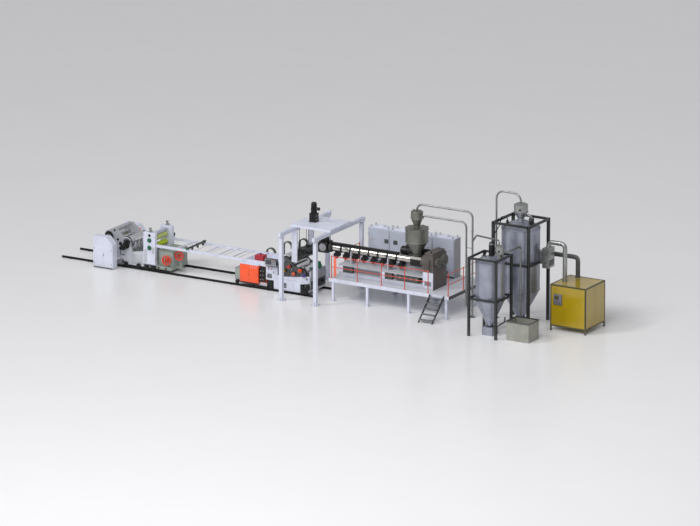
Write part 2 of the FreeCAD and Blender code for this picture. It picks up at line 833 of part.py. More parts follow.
# Conveying pipes
line_x = 8090.0
loader_top = hopper_top + 830
arch_x = large["x"] - 1300


def pipe_foot(x, y):
    return box(x - 120, x + 120, y - 120, y + 120, 0, 20)


feed_pipe = pipe([(hopper_x, 0, loader_top), (hopper_x, 0, loader_top + 330),
                  (line_x, 0, loader_top + 330), (line_x, 0, 20)], pipe_radius, 300)
return_pipe = pipe([(hopper_x + 200, 0, loader_top - 200), (line_x - 330, 0, loader_top - 200),
                    (line_x - 330, 0, 400), (line_x, 0, 400)], pipe_radius, 270)
arch_pipe = pipe([(large["x"], large["y"], large_top + 830),
                  (large["x"], large["y"], large_top + 1250),
                  (arch_x, large["y"], large_top + 1250), (arch_x, large["y"], 20)],
                 pipe_radius, 380)
add("conveying_pipes", fused([feed_pipe, return_pipe, pipe_foot(line_x, 0)])
    .cut(nodes["hopper_loader"]), fused([arch_pipe, pipe_foot(arch_x, large["y"])]))


# Material bin
def bin_shell():
    outer = box(bin_left, bin_right, bin_front, bin_back, 0, bin_height)
    return outer.cut(box(bin_left + bin_wall, bin_right - bin_wall, bin_front + bin_wall,
                         bin_back - bin_wall, bin_wall, bin_height + 1))


add("material_bin", bin_shell())


# Dryer
def dryer_frame():
    e = dryer_edge
    parts = []
    for x in (dryer_left, dryer_right - e):
        for y in (dryer_front, dryer_back - e):
            parts.append(box(x, x + e, y, y + e, 0, dryer_top))
    for z in (dryer_bottom, dryer_top - e):
        for y in (dryer_front, dryer_back - e):
            parts.append(box(dryer_left, dryer_right, y, y + e, z, z + e))
        for x in (dryer_left, dryer_right - e):
            parts.append(box(x, x + e, dryer_front, dryer_back, z, z + e))
    return fused(parts)


frame_bars = dryer_frame()
add("dryer_frame", frame_bars)
panel_in = 8.0
panels = box(dryer_left + panel_in, dryer_right - panel_in, dryer_front + panel_in,
             dryer_back - panel_in, dryer_bottom + panel_in, dryer_top - panel_in)
add("dryer_housing", panels.cut(frame_bars))

heater_left = 11540.0
heater_right = 11860.0
heater_y = 750.0
heater = box(heater_left, heater_right, heater_y - 300, heater_y + 300, 2760, 3700)
silo_edge = large["x"] + large["radius"]
heater_neck = box(silo_edge - 150, heater_left, heater_y - 150, heater_y + 150, 2900, 3500)
silo_core = Part.makeCylinder(large["radius"] + silo_rim, 5000, V(large["x"], large["y"], 0))
silo_heater = fused([heater, heater_neck.cut(silo_core)]).cut(nodes["silo_frames"])
heater_mid = (heater_left + heater_right) / 2
hot_duct = pipe([(heater_mid, heater_y, 3700), (heater_mid, heater_y, 3960),
                 (12580, heater_y, 3960), (12580, heater_y, dryer_top - panel_in)],
                duct_radius, 220)
back_y = large["y"] + large["half"] + duct_radius + 60
return_duct = pipe([(10830, 1200, 3160), (10830, back_y, 3160), (12780, back_y, 3160),
                    (12780, back_y, dryer_top - panel_in)], duct_radius, 170).cut(silo_core)
add("dryer_ducts", fused([silo_heater, hot_duct]), return_duct)

# Origin at the middle of the footprint, on the floor
box_all = Part.makeCompound(list(nodes.values())).BoundBox
shift = V(-box_all.Center.x, -box_all.Center.y, -box_all.ZMin)

os.makedirs("parts", exist_ok=True)
for name, shape in nodes.items():
    shape.translate(shift)
    shape.exportStep("parts/%s.step" % name)
print("nodes", len(nodes))
print("size", round(box_all.XLength, 1), round(box_all.YLength, 1), round(box_all.ZLength, 1))
print("shift", round(shift.x, 2), round(shift.y, 2), round(shift.z, 2))
print("solid volume, cubic metres", round(sum(s.Volume for s in nodes.values()) / 1e9, 2))
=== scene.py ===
import math

import bmesh
import bpy
from mathutils import Matrix, Vector


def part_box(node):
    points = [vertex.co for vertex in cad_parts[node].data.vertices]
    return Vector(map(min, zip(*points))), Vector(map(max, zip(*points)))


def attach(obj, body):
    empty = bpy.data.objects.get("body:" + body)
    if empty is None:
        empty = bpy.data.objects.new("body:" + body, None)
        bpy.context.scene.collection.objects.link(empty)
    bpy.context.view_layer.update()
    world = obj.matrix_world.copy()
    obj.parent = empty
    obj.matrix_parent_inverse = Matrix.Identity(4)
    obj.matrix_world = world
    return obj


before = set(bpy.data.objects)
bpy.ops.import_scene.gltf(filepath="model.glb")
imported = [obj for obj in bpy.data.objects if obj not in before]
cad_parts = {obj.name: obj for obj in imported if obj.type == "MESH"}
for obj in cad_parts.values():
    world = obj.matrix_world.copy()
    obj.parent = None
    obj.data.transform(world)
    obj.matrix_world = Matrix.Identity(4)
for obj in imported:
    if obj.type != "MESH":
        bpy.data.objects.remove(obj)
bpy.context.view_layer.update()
print("frame loaded,", len(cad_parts), "nodes")

# Every place below is in metres from the end of the floor rails under the gantry,
# on the middle line of the film, at floor level
railLow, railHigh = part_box("floor_rails")
lineOrigin = Vector((railHigh.x, (railLow.y + railHigh.y) / 2, 0.0))


def span(node):
    low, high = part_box(node)
    return low - lineOrigin, high - lineOrigin


def shade(red, green, blue):
    # Screen colour, 0 to 255, as the linear colour that a shader takes
    parts = [c / 255 for c in (red, green, blue)]
    return tuple([c / 12.92 if c <= 0.04045 else ((c + 0.055) / 1.055) ** 2.4 for c in parts] + [1.0])


def tinted(colour, factor):
    return tuple([min(1.0, c * factor) for c in colour[:3]] + [1.0])


# Shapes
def block(shape, low, high, edge=0.0, steps=2):
    a = Vector([min(p, q) for p, q in zip(low, high)])
    b = Vector([max(p, q) for p, q in zip(low, high)])
    made = bmesh.ops.create_cube(shape, size=1.0)["verts"]
    bmesh.ops.scale(shape, vec=b - a, verts=made)
    bmesh.ops.translate(shape, vec=(a + b) / 2 + lineOrigin, verts=made)
    if edge:
        edges = list(dict.fromkeys(e for v in made for e in v.link_edges))
        bmesh.ops.bevel(shape, geom=edges, offset=edge, offset_type="OFFSET", segments=steps,
                        profile=0.5, affect="EDGES", material=-1, clamp_overlap=True)


def rod(shape, start, end, radius, endRadius=None, sides=20, edge=0.0):
    start, end = Vector(start), Vector(end)
    along = end - start
    turn = along.to_track_quat("Z", "Y").to_matrix().to_4x4()
    place = Matrix.Translation((start + end) / 2 + lineOrigin) @ turn
    made = bmesh.ops.create_cone(shape, cap_ends=True, segments=sides, radius1=radius,
                                 radius2=radius if endRadius is None else endRadius,
                                 depth=along.length, matrix=place)["verts"]
    if edge:
        rims = [e for e in dict.fromkeys(e for v in made for e in v.link_edges)
                if any(len(f.verts) == sides for f in e.link_faces)]
        bmesh.ops.bevel(shape, geom=rims, offset=edge, offset_type="OFFSET", segments=2,
                        profile=0.5, affect="EDGES", material=-1, clamp_overlap=True)


def lathe(shape, outline, centre, axis, sides):
    # Points of the closed outline are radius and height along the axis
    turns = {"X": Matrix.Rotation(math.pi / 2, 4, "Y"), "Y": Matrix.Rotation(-math.pi / 2, 4, "X"),
             "Z": Matrix.Identity(4)}
    place = Matrix.Translation(Vector(centre) + lineOrigin) @ turns[axis]
    known = len(shape.verts)
    verts = [shape.verts.new(place @ Vector((r, 0, h))) for r, h in outline]
    edges = [shape.edges.new(pair) for pair in zip(verts, verts[1:])]
    edges.append(shape.edges.new((verts[-1], verts[0])))
    bmesh.ops.spin(shape, geom=verts + edges, cent=place.translation,
                   axis=place.to_3x3() @ Vector((0, 0, 1)), angle=2 * math.pi, steps=sides,
                   use_merge=True)
    bmesh.ops.remove_doubles(shape, verts=list(shape.verts)[known:], dist=1e-5)


def collar(shape, centre, inner, outer, start, end, axis="Z", sides=28):
    low, high = min(start, end), max(start, end)
    lathe(shape, [(inner, low), (outer, low), (outer, high), (inner, high)], centre, axis, sides)


def slab(shape, outline, axis, low, high):
    # Outline in X and Z for axis Y, in Y and Z for axis X, in X and Y for axis Z
    def put(a, b, d):
        return Vector({"X": (d, a, b), "Y": (a, d, b), "Z": (a, b, d)}[axis])
    verts = [shape.verts.new(lineOrigin + put(a, b, low)) for a, b in outline]
    face = shape.faces.new(verts)
    grown = bmesh.ops.extrude_face_region(shape, geom=[face])["geom"]
    moved = [g for g in grown if isinstance(g, bmesh.types.BMVert)]
    bmesh.ops.translate(shape, vec=put(0, 0, high - low), verts=moved)


def pushFace(shape, face, move):
    grown = bmesh.ops.extrude_face_region(shape, geom=[face])["geom"]
    moved = [g for g in grown if isinstance(g, bmesh.types.BMVert)]
    bmesh.ops.translate(shape, vec=move, verts=moved)
    return [g for g in grown if isinstance(g, bmesh.types.BMFace)][0]


def tube(shape, points, radius, bend, sides):
    # Straight runs joined by round bends
    path = [Vector(p) + lineOrigin for p in points]
    forward = (path[1] - path[0]).normalized()
    place = Matrix.Translation(path[0]) @ forward.to_track_quat("Z", "Y").to_matrix().to_4x4()
    disc = bmesh.ops.create_circle(shape, cap_ends=True, segments=sides, radius=radius,
                                   matrix=place)["verts"]
    face = disc[0].link_faces[0]
    here = path[0]
    for before, corner, after in zip(path, path[1:], path[2:]):
        inward = (corner - before).normalized()
        outward = (after - corner).normalized()
        turn = inward.angle(outward)
        if turn < 0.01:
            continue
        cut = bend * math.tan(turn / 2)
        face = pushFace(shape, face, corner - inward * cut - here)
        middle = corner + (outward - inward).normalized() * bend / math.cos(turn / 2)
        steps = max(2, round(math.degrees(turn) / 15))
        swept = bmesh.ops.spin(shape, geom=[face], cent=middle, axis=inward.cross(outward),
                               angle=turn, steps=steps)["geom_last"]
        face = [g for g in swept if isinstance(g, bmesh.types.BMFace)][0]
        here = corner + outward * cut
    pushFace(shape, face, path[-1] - here)


def boltHeads(shape, places, axis, size, height=0.012):
    # Six-sided heads that stand off a face along the signed axis
    step = Vector({"X": (1, 0, 0), "Y": (0, 1, 0), "Z": (0, 0, 1)}[axis[-1]]) * height
    if axis[0] == "-":
        step = -step
    for place in places:
        rod(shape, Vector(place), Vector(place) + step, size, sides=6)


sharpAngle = math.radians(35.0)


def finishPiece(name, shape, material, body):
    bmesh.ops.recalc_face_normals(shape, faces=list(shape.faces))
    for face in shape.faces:
        face.smooth = True
    mesh = bpy.data.meshes.new(name)
    shape.to_mesh(mesh)
    shape.free()
    mesh.set_sharp_from_angle(angle=sharpAngle)
    mesh.materials.append(material)
    piece = bpy.data.objects.new(name, mesh)
    bpy.context.scene.collection.objects.link(piece)
    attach(piece, body)
    return piece


# Finishes
def startMaterial(name):
    material = bpy.data.materials.new(name)
    material.use_nodes = True
    tree = material.node_tree
    place = tree.nodes.new("ShaderNodeTexCoord").outputs["Object"]
    return material, tree, tree.nodes["Principled BSDF"], place


def addNode(tree, kind, **inputs):
    node = tree.nodes.new("ShaderNode" + kind)
    for key, value in inputs.items():
        node.inputs[key.replace("_", " ")].default_value = value
    return node


def noiseOn(tree, source, scale, detail=3.0, stretch=None):
    noise = addNode(tree, "TexNoise", Scale=scale, Detail=detail)
    if stretch:
        mapping = addNode(tree, "Mapping")
        mapping.inputs["Scale"].default_value = stretch
        tree.links.new(source, mapping.inputs["Vector"])
        source = mapping.outputs["Vector"]
    tree.links.new(source, noise.inputs["Vector"])
    return noise.outputs["Fac"]


def between(tree, factor, low, high, fromLow=0.35, fromHigh=0.65):
    ranged = addNode(tree, "MapRange")
    for key, value in (("From Min", fromLow), ("From Max", fromHigh), ("To Min", low), ("To Max", high)):
        ranged.inputs[key].default_value = value
    tree.links.new(factor, ranged.inputs["Value"])
    return ranged.outputs["Result"]


def blendTones(tree, factor, first, second):
    mix = tree.nodes.new("ShaderNodeMix")
    mix.data_type = "RGBA"
    for socket, value in (("A", first), ("B", second)):
        target = [s for s in mix.inputs if s.name == socket and s.type == "RGBA"][0]
        if isinstance(value, tuple):
            target.default_value = value
        else:
            tree.links.new(value, target)
    tree.links.new(factor, mix.inputs["Factor"])
    return [s for s in mix.outputs if s.type == "RGBA"][0]


def raiseGrain(tree, shader, height, strength, distance):
    bump = addNode(tree, "Bump", Strength=strength, Distance=distance)
    tree.links.new(height, bump.inputs["Height"])
    tree.links.new(bump.outputs["Normal"], shader.inputs["Normal"])


sprayed = {"cloud": 0.05, "dust": shade(150, 146, 138), "dustHeight": 0.35, "mostDust": 0.22}


def paint(name, colour, rough, coat=0.0):
    # Sprayed paint: faint clouding, orange peel, dust towards the floor
    material, tree, shader, place = startMaterial(name)
    clouds = noiseOn(tree, place, 1.7, 4.0)
    tone = blendTones(tree, between(tree, clouds, 0.0, 1.0), tinted(colour, 1 - sprayed["cloud"]),
                      tinted(colour, 1 + sprayed["cloud"]))
    apart = tree.nodes.new("ShaderNodeSeparateXYZ")
    tree.links.new(place, apart.inputs["Vector"])
    near = between(tree, apart.outputs["Z"], sprayed["mostDust"], 0.0, 0.0, sprayed["dustHeight"])
    speck = between(tree, noiseOn(tree, place, 14.0, 5.0), 0.2, 1.0)
    share = tree.nodes.new("ShaderNodeMath")
    share.operation = "MULTIPLY"
    tree.links.new(near, share.inputs[0])
    tree.links.new(speck, share.inputs[1])
    tone = blendTones(tree, share.outputs["Value"], tone, sprayed["dust"])
    tree.links.new(tone, shader.inputs["Base Color"])
    worn = between(tree, noiseOn(tree, place, 5.0, 4.0), rough - 0.06, rough + 0.08)
    tree.links.new(worn, shader.inputs["Roughness"])
    shader.inputs["Coat Weight"].default_value = coat
    shader.inputs["Coat Roughness"].default_value = 0.12
    raiseGrain(tree, shader, noiseOn(tree, place, 180.0, 2.0), 0.12, 0.0006)
    return material


def brushed(name, colour, rough, grain, metal, cloud=0.1):
    # Rolled or ground metal with a grain along two axes
    material, tree, shader, place = startMaterial(name)
    lines = noiseOn(tree, place, 1.0, 5.0, grain)
    clouds = noiseOn(tree, place, 2.2, 3.0)
    tone = blendTones(tree, between(tree, clouds, 0.0, 1.0), tinted(colour, 1 - cloud),
                      tinted(colour, 1 + cloud))
    tree.links.new(tone, shader.inputs["Base Color"])
    shader.inputs["Metallic"].default_value = metal
    tree.links.new(between(tree, lines, rough - 0.05, rough + 0.09), shader.inputs["Roughness"])
    raiseGrain(tree, shader, lines, 0.08, 0.0004)
    return material


def castIron(name, colour, rough=0.5):
    # Rough casting under machine enamel
    material, tree, shader, place = startMaterial(name)
    pits = noiseOn(tree, place, 42.0, 6.0)
    tone = blendTones(tree, between(tree, pits, 0.0, 1.0), tinted(colour, 0.82), tinted(colour, 1.15))
    tree.links.new(tone, shader.inputs["Base Color"])
    tree.links.new(between(tree, pits, rough - 0.08, rough + 0.12), shader.inputs["Roughness"])
    raiseGrain(tree, shader, pits, 0.35, 0.002)
    return material


def rubberFinish(name, colour, rough=0.55):
    material, tree, shader, place = startMaterial(name)
    fine = noiseOn(tree, place, 320.0, 2.0)
    bands = noiseOn(tree, place, 1.0, 3.0, (2.0, 26.0, 2.0))
    tone = blendTones(tree, between(tree, bands, 0.0, 1.0), tinted(colour, 0.88), tinted(colour, 1.1))
    tree.links.new(tone, shader.inputs["Base Color"])
    tree.links.new(between(tree, bands, rough - 0.1, rough + 0.1), shader.inputs["Roughness"])
    raiseGrain(tree, shader, fine, 0.15, 0.0005)
    return material


def paintedShadeAbove(name, lower, upper, edge, rough=0.42):
    # The upper tone above the edge height is painted shade over the lower tone
    material, tree, shader, place = startMaterial(name)
    split = tree.nodes.new("ShaderNodeSeparateXYZ")
    tree.links.new(place, split.inputs["Vector"])
    factor = between(tree, split.outputs["Z"], 0.0, 1.0, edge - 0.002, edge + 0.002)
    tree.links.new(blendTones(tree, factor, lower, upper), shader.inputs["Base Color"])
    cloud = noiseOn(tree, place, 3.0)
    tree.links.new(between(tree, cloud, rough - 0.06, rough + 0.08), shader.inputs["Roughness"])
    return material


finishes = {
    "white": paint("whiteEnamel", shade(213, 217, 232), 0.34),
    "lilac": paint("cabinetPowderCoat", shade(188, 193, 207), 0.42),
    "grey": paint("greyEnamel", shade(150, 151, 156), 0.42),
    "paleGrey": paint("paleGreyEnamel", shade(186, 188, 194), 0.42),
    # Winder base, upper part darker: painted shade of the gaps between the rolls, mixed with the tone of
    # the dark machinery behind them
    "winderUpperPaintedShade": paintedShadeAbove("winderUpperPaintedShade", shade(196, 198, 206), shade(164, 166, 172), 1.02),
    "sage": paint("sageEnamel", shade(150, 160, 152), 0.45),
    "darkGrey": paint("darkGreyEnamel", shade(78, 80, 80), 0.45),
    "brownGrey": castIron("gearboxEnamel", shade(92, 86, 82)),
    "frame": paint("siloFrameEnamel", shade(40, 42, 42), 0.4),
    "black": castIron("blackEnamel", shade(15, 15, 17), 0.42),
    "railBlack": castIron("railSteel", shade(9, 9, 10), 0.62),
    "orange": paint("orangeEnamel", shade(250, 92, 44), 0.32, coat=0.3),
    "red": paint("redEnamel", shade(204, 78, 64), 0.38),
    "reelRed": paint("reelEnamel", shade(222, 74, 52), 0.38),
    "coral": paint("coralEnamel", shade(236, 116, 92), 0.38),
    "yellow": paint("dryerYellow", shade(166, 140, 6), 0.18, coat=0.8),
    "olive": paint("dryerEdgeEnamel", shade(72, 70, 40), 0.4),
    "green": paint("bearingGreen", shade(8, 96, 62), 0.34),
    "crimson": paint("crimsonEnamel", shade(176, 44, 62), 0.36),
    "violet": paint("violetEnamel", shade(88, 72, 148), 0.36),
    "violetGrey": paint("panelEnamel", shade(116, 112, 124), 0.4),
    "sageDark": paint("hoodEnamel", shade(84, 90, 84), 0.42),
    "glass": paint("screenGlass", shade(52, 56, 64), 0.16, coat=0.6),
    "tread": castIron("treadPlate", shade(200, 202, 210), 0.45),
    "siloSteel": brushed("siloSheet", shade(162, 166, 180), 0.34, (2.0, 2.0, 60.0), 0.75),
    "hopperSteel": brushed("hopperSheet", shade(128, 128, 120), 0.36, (2.0, 2.0, 60.0), 0.8),
    "pipeSteel": brushed("pipeSteel", shade(150, 152, 150), 0.3, (40.0, 40.0, 40.0), 0.9),
    "ductSteel": brushed("ductSteel", shade(160, 162, 160), 0.3, (8.0, 60.0, 8.0), 0.85),
    "binSteel": brushed("binSheet", shade(160, 160, 152), 0.5, (2.0, 2.0, 40.0), 0.35),
    "chrome": brushed("rollChrome", shade(232, 232, 236), 0.12, (4.0, 60.0, 4.0), 1.0, 0.03),
    "ground": brushed("barrelSteel", shade(206, 204, 196), 0.2, (70.0, 3.0, 3.0), 1.0, 0.05),
    "dieSteel": brushed("dieSteel", shade(84, 88, 84), 0.38, (4.0, 50.0, 4.0), 0.8),
    "limeRubber": rubberFinish("limeRubber", shade(176, 196, 30)),
    "paleRubber": rubberFinish("paleLimeRubber", shade(182, 192, 118)),
}

nodeFinishes = {
    "white": ["winder_cabinets", "haul_off_columns", "calender_side_covers", "die_trolley",
              "gantry_posts", "gantry_beams", "platform_deck", "platform_legs", "roller_table"],
    "lilac": ["electric_cabinets", "cabinet_door_1", "cabinet_door_2", "cabinet_door_3",
              "cabinet_door_4"],
    "winderUpperPaintedShade": ["winder_base"],
    "paleGrey": ["extruder_base", "winder_arms", "calender_base"],
    "grey": ["control_boxes"],
    "sage": ["haul_off_base"],
    "frame": ["silo_frames", "ladder"],
    "olive": ["dryer_frame"],
    "brownGrey": ["gearbox"],
    "darkGrey": ["edge_slitter", "calender_bearing_stands"],
    "black": ["hoist_motor", "main_motor", "winder_motor", "heating_zones", "carriage_wheels",
              "melt_pump", "roll_drives"],
    "railBlack": ["floor_rails"],
    "orange": ["orange_cabinet"],
    "red": ["handrails"],
    "reelRed": ["trim_reels"],
    "yellow": ["dryer_housing"],
    "siloSteel": ["small_silo_shell", "small_silo_roof", "small_silo_cone", "large_silo_shell",
                  "large_silo_roof", "large_silo_cone", "silo_outlets"],
    "hopperSteel": ["feed_hopper", "hopper_loader"],
    "pipeSteel": ["conveying_pipes"],
    "ductSteel": ["dryer_ducts", "silo_loaders"],
    "binSteel": ["material_bin"],
    "chrome": ["winding_drum", "film_spool", "calender_roll_top", "calender_roll_middle",
               "calender_roll_bottom"],
    "ground": ["barrel"],
    "dieSteel": ["die"],
    "limeRubber": ["haul_off_lower_roll"],
    "paleRubber": ["haul_off_upper_roll"],
}
for finish, names in nodeFinishes.items():
    for name in names:
        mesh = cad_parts[name].data
        mesh.materials.clear()
        mesh.materials.append(finishes[finish])
print("finishes on every node")

# Both long faces of a machine, as a sign and as the face's name
bothSides = ((-1, "-Y"), (1, "+Y"))


# Thickness of the plates under posts, legs and pipes
footPlate = 0.020


# Small shapes that every machine uses
def onFace(shape, face, at, a0, a1, z0, z1, depth, edge=0.0, sunk=0.002):
    # A pad on an upright face; a0 and a1 run along the face
    sign = -1 if face[0] == "-" else 1
    near, far = at - sign * sunk, at + sign * depth
    if face[1] == "Y":
        block(shape, (a0, near, z0), (a1, far, z1), edge)
    else:
        block(shape, (near, a0, z0), (far, a1, z1), edge)


def louvres(shape, face, at, a0, a1, z0, z1, count, depth=0.01):
    step = (z1 - z0) / count
    for i in range(count):
        onFace(shape, face, at, a0, a1, z0 + step * (i + 0.2), z0 + step * (i + 0.7), depth)


def frameOn(shape, face, at, a0, a1, z0, z1, wide, depth):
    onFace(shape, face, at, a0, a1, z0, z0 + wide, depth)
    onFace(shape, face, at, a0, a1, z1 - wide, z1, depth)
    onFace(shape, face, at, a0, a0 + wide, z0 + wide, z1 - wide, depth)
    onFace(shape, face, at, a1 - wide, a1, z0 + wide, z1 - wide, depth)


def ringPlaces(centre, axis, radius, count, start=0.0):
    places = []
    for i in range(count):
        a = start + 2 * math.pi * i / count
        c, s = radius * math.cos(a), radius * math.sin(a)
        offset = {"X": (0, c, s), "Y": (c, 0, s), "Z": (c, s, 0)}[axis]
        places.append(Vector(centre) + Vector(offset))
    return places


def cornerPlaces(x, y, z, reach):
    return [(x + dx, y + dy, z) for dx in (-reach, reach) for dy in (-reach, reach)]


def circlePoints(out, radius, count):
    # Section of a ring for the lathe: a small circle that stands off the axis
    turns = [2 * math.pi * i / count for i in range(count)]
    return [(out + radius * math.cos(t), radius * math.sin(t)) for t in turns]


def eyeBolt(shape, place, size):
    x, y, z = place
    rod(shape, (x, y, z), (x, y, z + 0.6 * size), 0.45 * size, sides=10)
    lathe(shape, circlePoints(0.62 * size, 0.22 * size, 6), (x, y, z + 1.1 * size), "Y", 12)


def arcBand(x, z, inner, outer, start, end, steps=14):
    angles = [math.radians(start + (end - start) * i / steps) for i in range(steps + 1)]
    out = [(x + outer * math.cos(a), z + outer * math.sin(a)) for a in angles]
    back = [(x + inner * math.cos(a), z + inner * math.sin(a)) for a in reversed(angles)]
    return out + back


def newShapes(count):
    return [bmesh.new() for i in range(count)]


def carriage(name, shape, finish):
    return finishPiece(name, shape, finishes[finish], "line_carriage")


def fixed(name, shape, finish):
    return finishPiece(name, shape, finishes[finish], "plant")


# Floor rails
clips = {"count": 14, "first": 0.5, "pitch": 1.0, "wide": 0.06, "inner": 0.03, "reach": 0.045,
         "high": 0.022, "bolt": 0.012, "boltOut": 0.022, "foot": 0.055}


def railClips():
    shape = bmesh.new()
    low, high = span("floor_rails")
    for side in (-1, 1):
        y = side * (high.y - low.y - 2 * clips["foot"]) / 2
        for i in range(clips["count"]):
            x = low.x + clips["first"] + clips["pitch"] * i
            for s in (-1, 1):
                edge = y + s * clips["foot"]
                block(shape, (x, edge - s * clips["inner"], 0.0),
                      (x + clips["wide"], edge + s * clips["reach"], clips["high"]), 0.003)
                boltHeads(shape, [(x + clips["wide"] / 2, edge + s * clips["boltOut"], clips["high"])],
                          "+Z", clips["bolt"])
    fixed("railClips", shape, "railBlack")


railClips()
print("rails")

# Winder
winder = {"left": -11.770, "right": -10.680, "out": 1.546, "plate": 0.740,
          "drum": (-11.370, 1.400), "spool": (-10.370, 1.270),
          "layOn": (-11.060, 1.730), "guide": (-10.880, 1.300), "motorZ": 1.060, "leaf": 1.540,
          "flange": 0.032, "rollHalf": 0.655, "wheel": (-10.560, -0.860, 0.300), "wheelRadius": 0.085,
          "idlerX": -10.720, "cableY": -0.780}


def winderCabinets():
    dark, metal = newShapes(2)
    middle = (winder["left"] + winder["right"]) / 2
    for side, face in bothSides:
        at = side * winder["out"]
        # Dark strip along the foot of each cabinet front, below the doors: a painted shadow line at the
        # plinth
        onFace(dark, face, side * winder["leaf"], winder["left"] + 0.01, winder["right"] - 0.01,
               0.022, 0.072, 0.003)
        onFace(metal, face, at, middle + 0.03, middle + 0.05, 0.60, 0.74, 0.018, 0.004)
        for x in (winder["left"] + 0.07, winder["right"] - 0.07):
            for z in (0.25, 0.95):
                rod(metal, (x, at, z - 0.04), (x, at, z + 0.04), 0.010, sides=10)
        y0, y1 = sorted((side * 1.21, side * 1.48))
        louvres(dark, "-X", winder["left"], y0, y1, 0.18, 0.46, 8)
        boltHeads(metal, [(winder["right"], y, z) for y in (y0 + 0.03, y1 - 0.03)
                          for z in (0.65, 1.05)], "+X", 0.009, 0.008)
    carriage("winderVentsAndPlinthShadow", dark, "darkGrey")
    carriage("winderLatches", metal, "pipeSteel")
    doors = bmesh.new()
    for side, face in bothSides:
        for x0, x1 in ((winder["left"] + 0.03, middle - 0.006), (middle + 0.006, winder["right"] - 0.03)):
            onFace(doors, face, side * winder["leaf"], x0, x1, 0.085, 1.130, 0.006, 0.003)
    carriage("winderDoors", doors, "white")


def winderFittings():
    metal, dark = newShapes(2)
    for side, face in bothSides:
        y = side * winder["plate"]
        for x, z in (winder["drum"], winder["spool"]):
            collar(metal, (x, y, z), 0.052, 0.115, 0.0, side * winder["flange"], "Y")
            boltHeads(dark, ringPlaces((x, y + side * winder["flange"], z), "Y", 0.09, 6), face, 0.010,
                      0.010)
    carriage("winderBearings", metal, "pipeSteel")
    rings = bmesh.new()
    for side in (-1, 1):
        for (x, z), outer in ((winder["drum"], 0.283), (winder["spool"], 0.198)):
            centre = (x, side * (winder["plate"] - 0.001), z)
            collar(rings, centre, outer - 0.046, outer, 0.0, side * 0.024, "Y", 48)
            # Black disc inside each chrome rim: painted shade of the recessed roll end
            collar(dark, centre, 0.112, outer - 0.045, 0.0, side * 0.007, "Y", 40)
    carriage("winderRings", rings, "chrome")
    x, z = winder["layOn"]
    guideX, guideZ = winder["guide"]
    for s in (-1, 1):
        rod(dark, (x, s * 0.738, z), (x, s * 0.80, z), 0.050, 0.030, 20, 0.008)
        rod(dark, (guideX, s * 0.738, guideZ), (guideX, s * 0.775, guideZ), 0.055, sides=20, edge=0.006)
    motorEnd = -winder["plate"] - 0.39
    for r in (0.03, 0.055, 0.08, 0.105):
        collar(dark, (winder["spool"][0], motorEnd, winder["motorZ"]), r, r + 0.010, -0.012, 0.004, "Y")
    for i in range(7):
        collar(dark, (winder["spool"][0], -0.80 - 0.04 * i, winder["motorZ"]), 0.129, 0.142, -0.008,
               0.008, "Y")
    block(dark, (-10.44, -1.00, 1.18), (-10.30, -0.88, 1.265), 0.008)
    hub = Vector(winder["wheel"])
    rod(dark, (hub.x, -0.742, hub.z), hub, 0.018)
    lathe(dark, circlePoints(winder["wheelRadius"], 0.012, 8), hub, "Y", 24)
    for a in (0, 60, 120):
        spoke = Vector((math.cos(math.radians(a)), 0, math.sin(math.radians(a)))) * winder["wheelRadius"]
        rod(dark, hub - spoke, hub + spoke, 0.008, sides=8)
    for z in (0.90, 1.12):
        rod(dark, (winder["idlerX"], -0.742, z), (winder["idlerX"], -0.80, z), 0.075, sides=24,
            edge=0.006)
    tube(dark, [(winder["idlerX"], winder["cableY"], 0.90), (winder["idlerX"], winder["cableY"], 0.60),
                (-10.50, winder["cableY"], 0.60), (-10.50, -0.742, 0.60)], 0.014, 0.03, 8)
    carriage("winderDarkParts", dark, "black")
    sleeve = bmesh.new()
    rod(sleeve, (x, -winder["rollHalf"], z), (x, winder["rollHalf"], z), 0.052, sides=28)
    carriage("layOnSleeve", sleeve, "limeRubber")
    bar = bmesh.new()
    rod(bar, (guideX, -winder["rollHalf"], guideZ), (guideX, winder["rollHalf"], guideZ), 0.064,
        sides=32)
    carriage("guideSleeve", bar, "chrome")


def winderPanels():
    panel, metal = newShapes(2)
    for side, face in bothSides:
        at = side * winder["plate"]
        for x0, x1, z0, z1 in ((-10.12, -9.52, 0.22, 0.70), (-10.90, -10.20, 0.22, 0.74)):
            if side > 0 or x0 > -10.5:
                onFace(panel, face, at, x0, x1, z0, z1, 0.006, 0.003)
                boltHeads(metal, [(x, at + side * 0.006, z) for x in (x0 + 0.03, x1 - 0.03)
                                  for z in (z0 + 0.03, z1 - 0.03)], face, 0.009, 0.008)
    onFace(panel, "+X", -9.45, -0.55, 0.55, 0.35, 0.72, 0.006, 0.003)
    carriage("winderPanels", panel, "paleGrey")
    carriage("winderPanelScrews", metal, "pipeSteel")
    coral = bmesh.new()
    for x0, x1, z0, z1 in ((-11.00, -10.86, 1.02, 1.20), (-10.82, -10.60, 1.34, 1.52),
                           (-10.24, -10.12, 1.20, 1.36)):
        block(coral, (x0, 0.738, z0), (x1, 0.86, z1), 0.012)
    carriage("winderCoralParts", coral, "coral")
    slats = bmesh.new()
    for i in range(9):
        x = -10.98 + 0.17 * i
        block(slats, (x, -0.62, 0.779), (x + 0.12, 0.62, 0.786), 0.002)
    carriage("winderDeckSlats", slats, "darkGrey")


def rollEnds():
    # Black discs at each end of the two winding rolls: painted shade of the hollow roll ends
    for name, (x, z), outer in (("winding_drum", winder["drum"], 0.243),
                                ("film_spool", winder["spool"], 0.158)):
        shape = bmesh.new()
        for side in (-1, 1):
            collar(shape, (x, 0, z), 0.066, outer, side * 0.618, side * 0.624, "Y", 36)
            for p in ringPlaces((x, side * 0.623, z), "Y", (0.066 + outer) / 2, 6):
                rod(shape, p, p + Vector((0, side * 0.012, 0)), 0.016, sides=12)
        finishPiece(name + "PaintedRecessShade", shape, finishes["black"], name)


winderCabinets()
winderFittings()
winderPanels()
rollEnds()
print("winder")

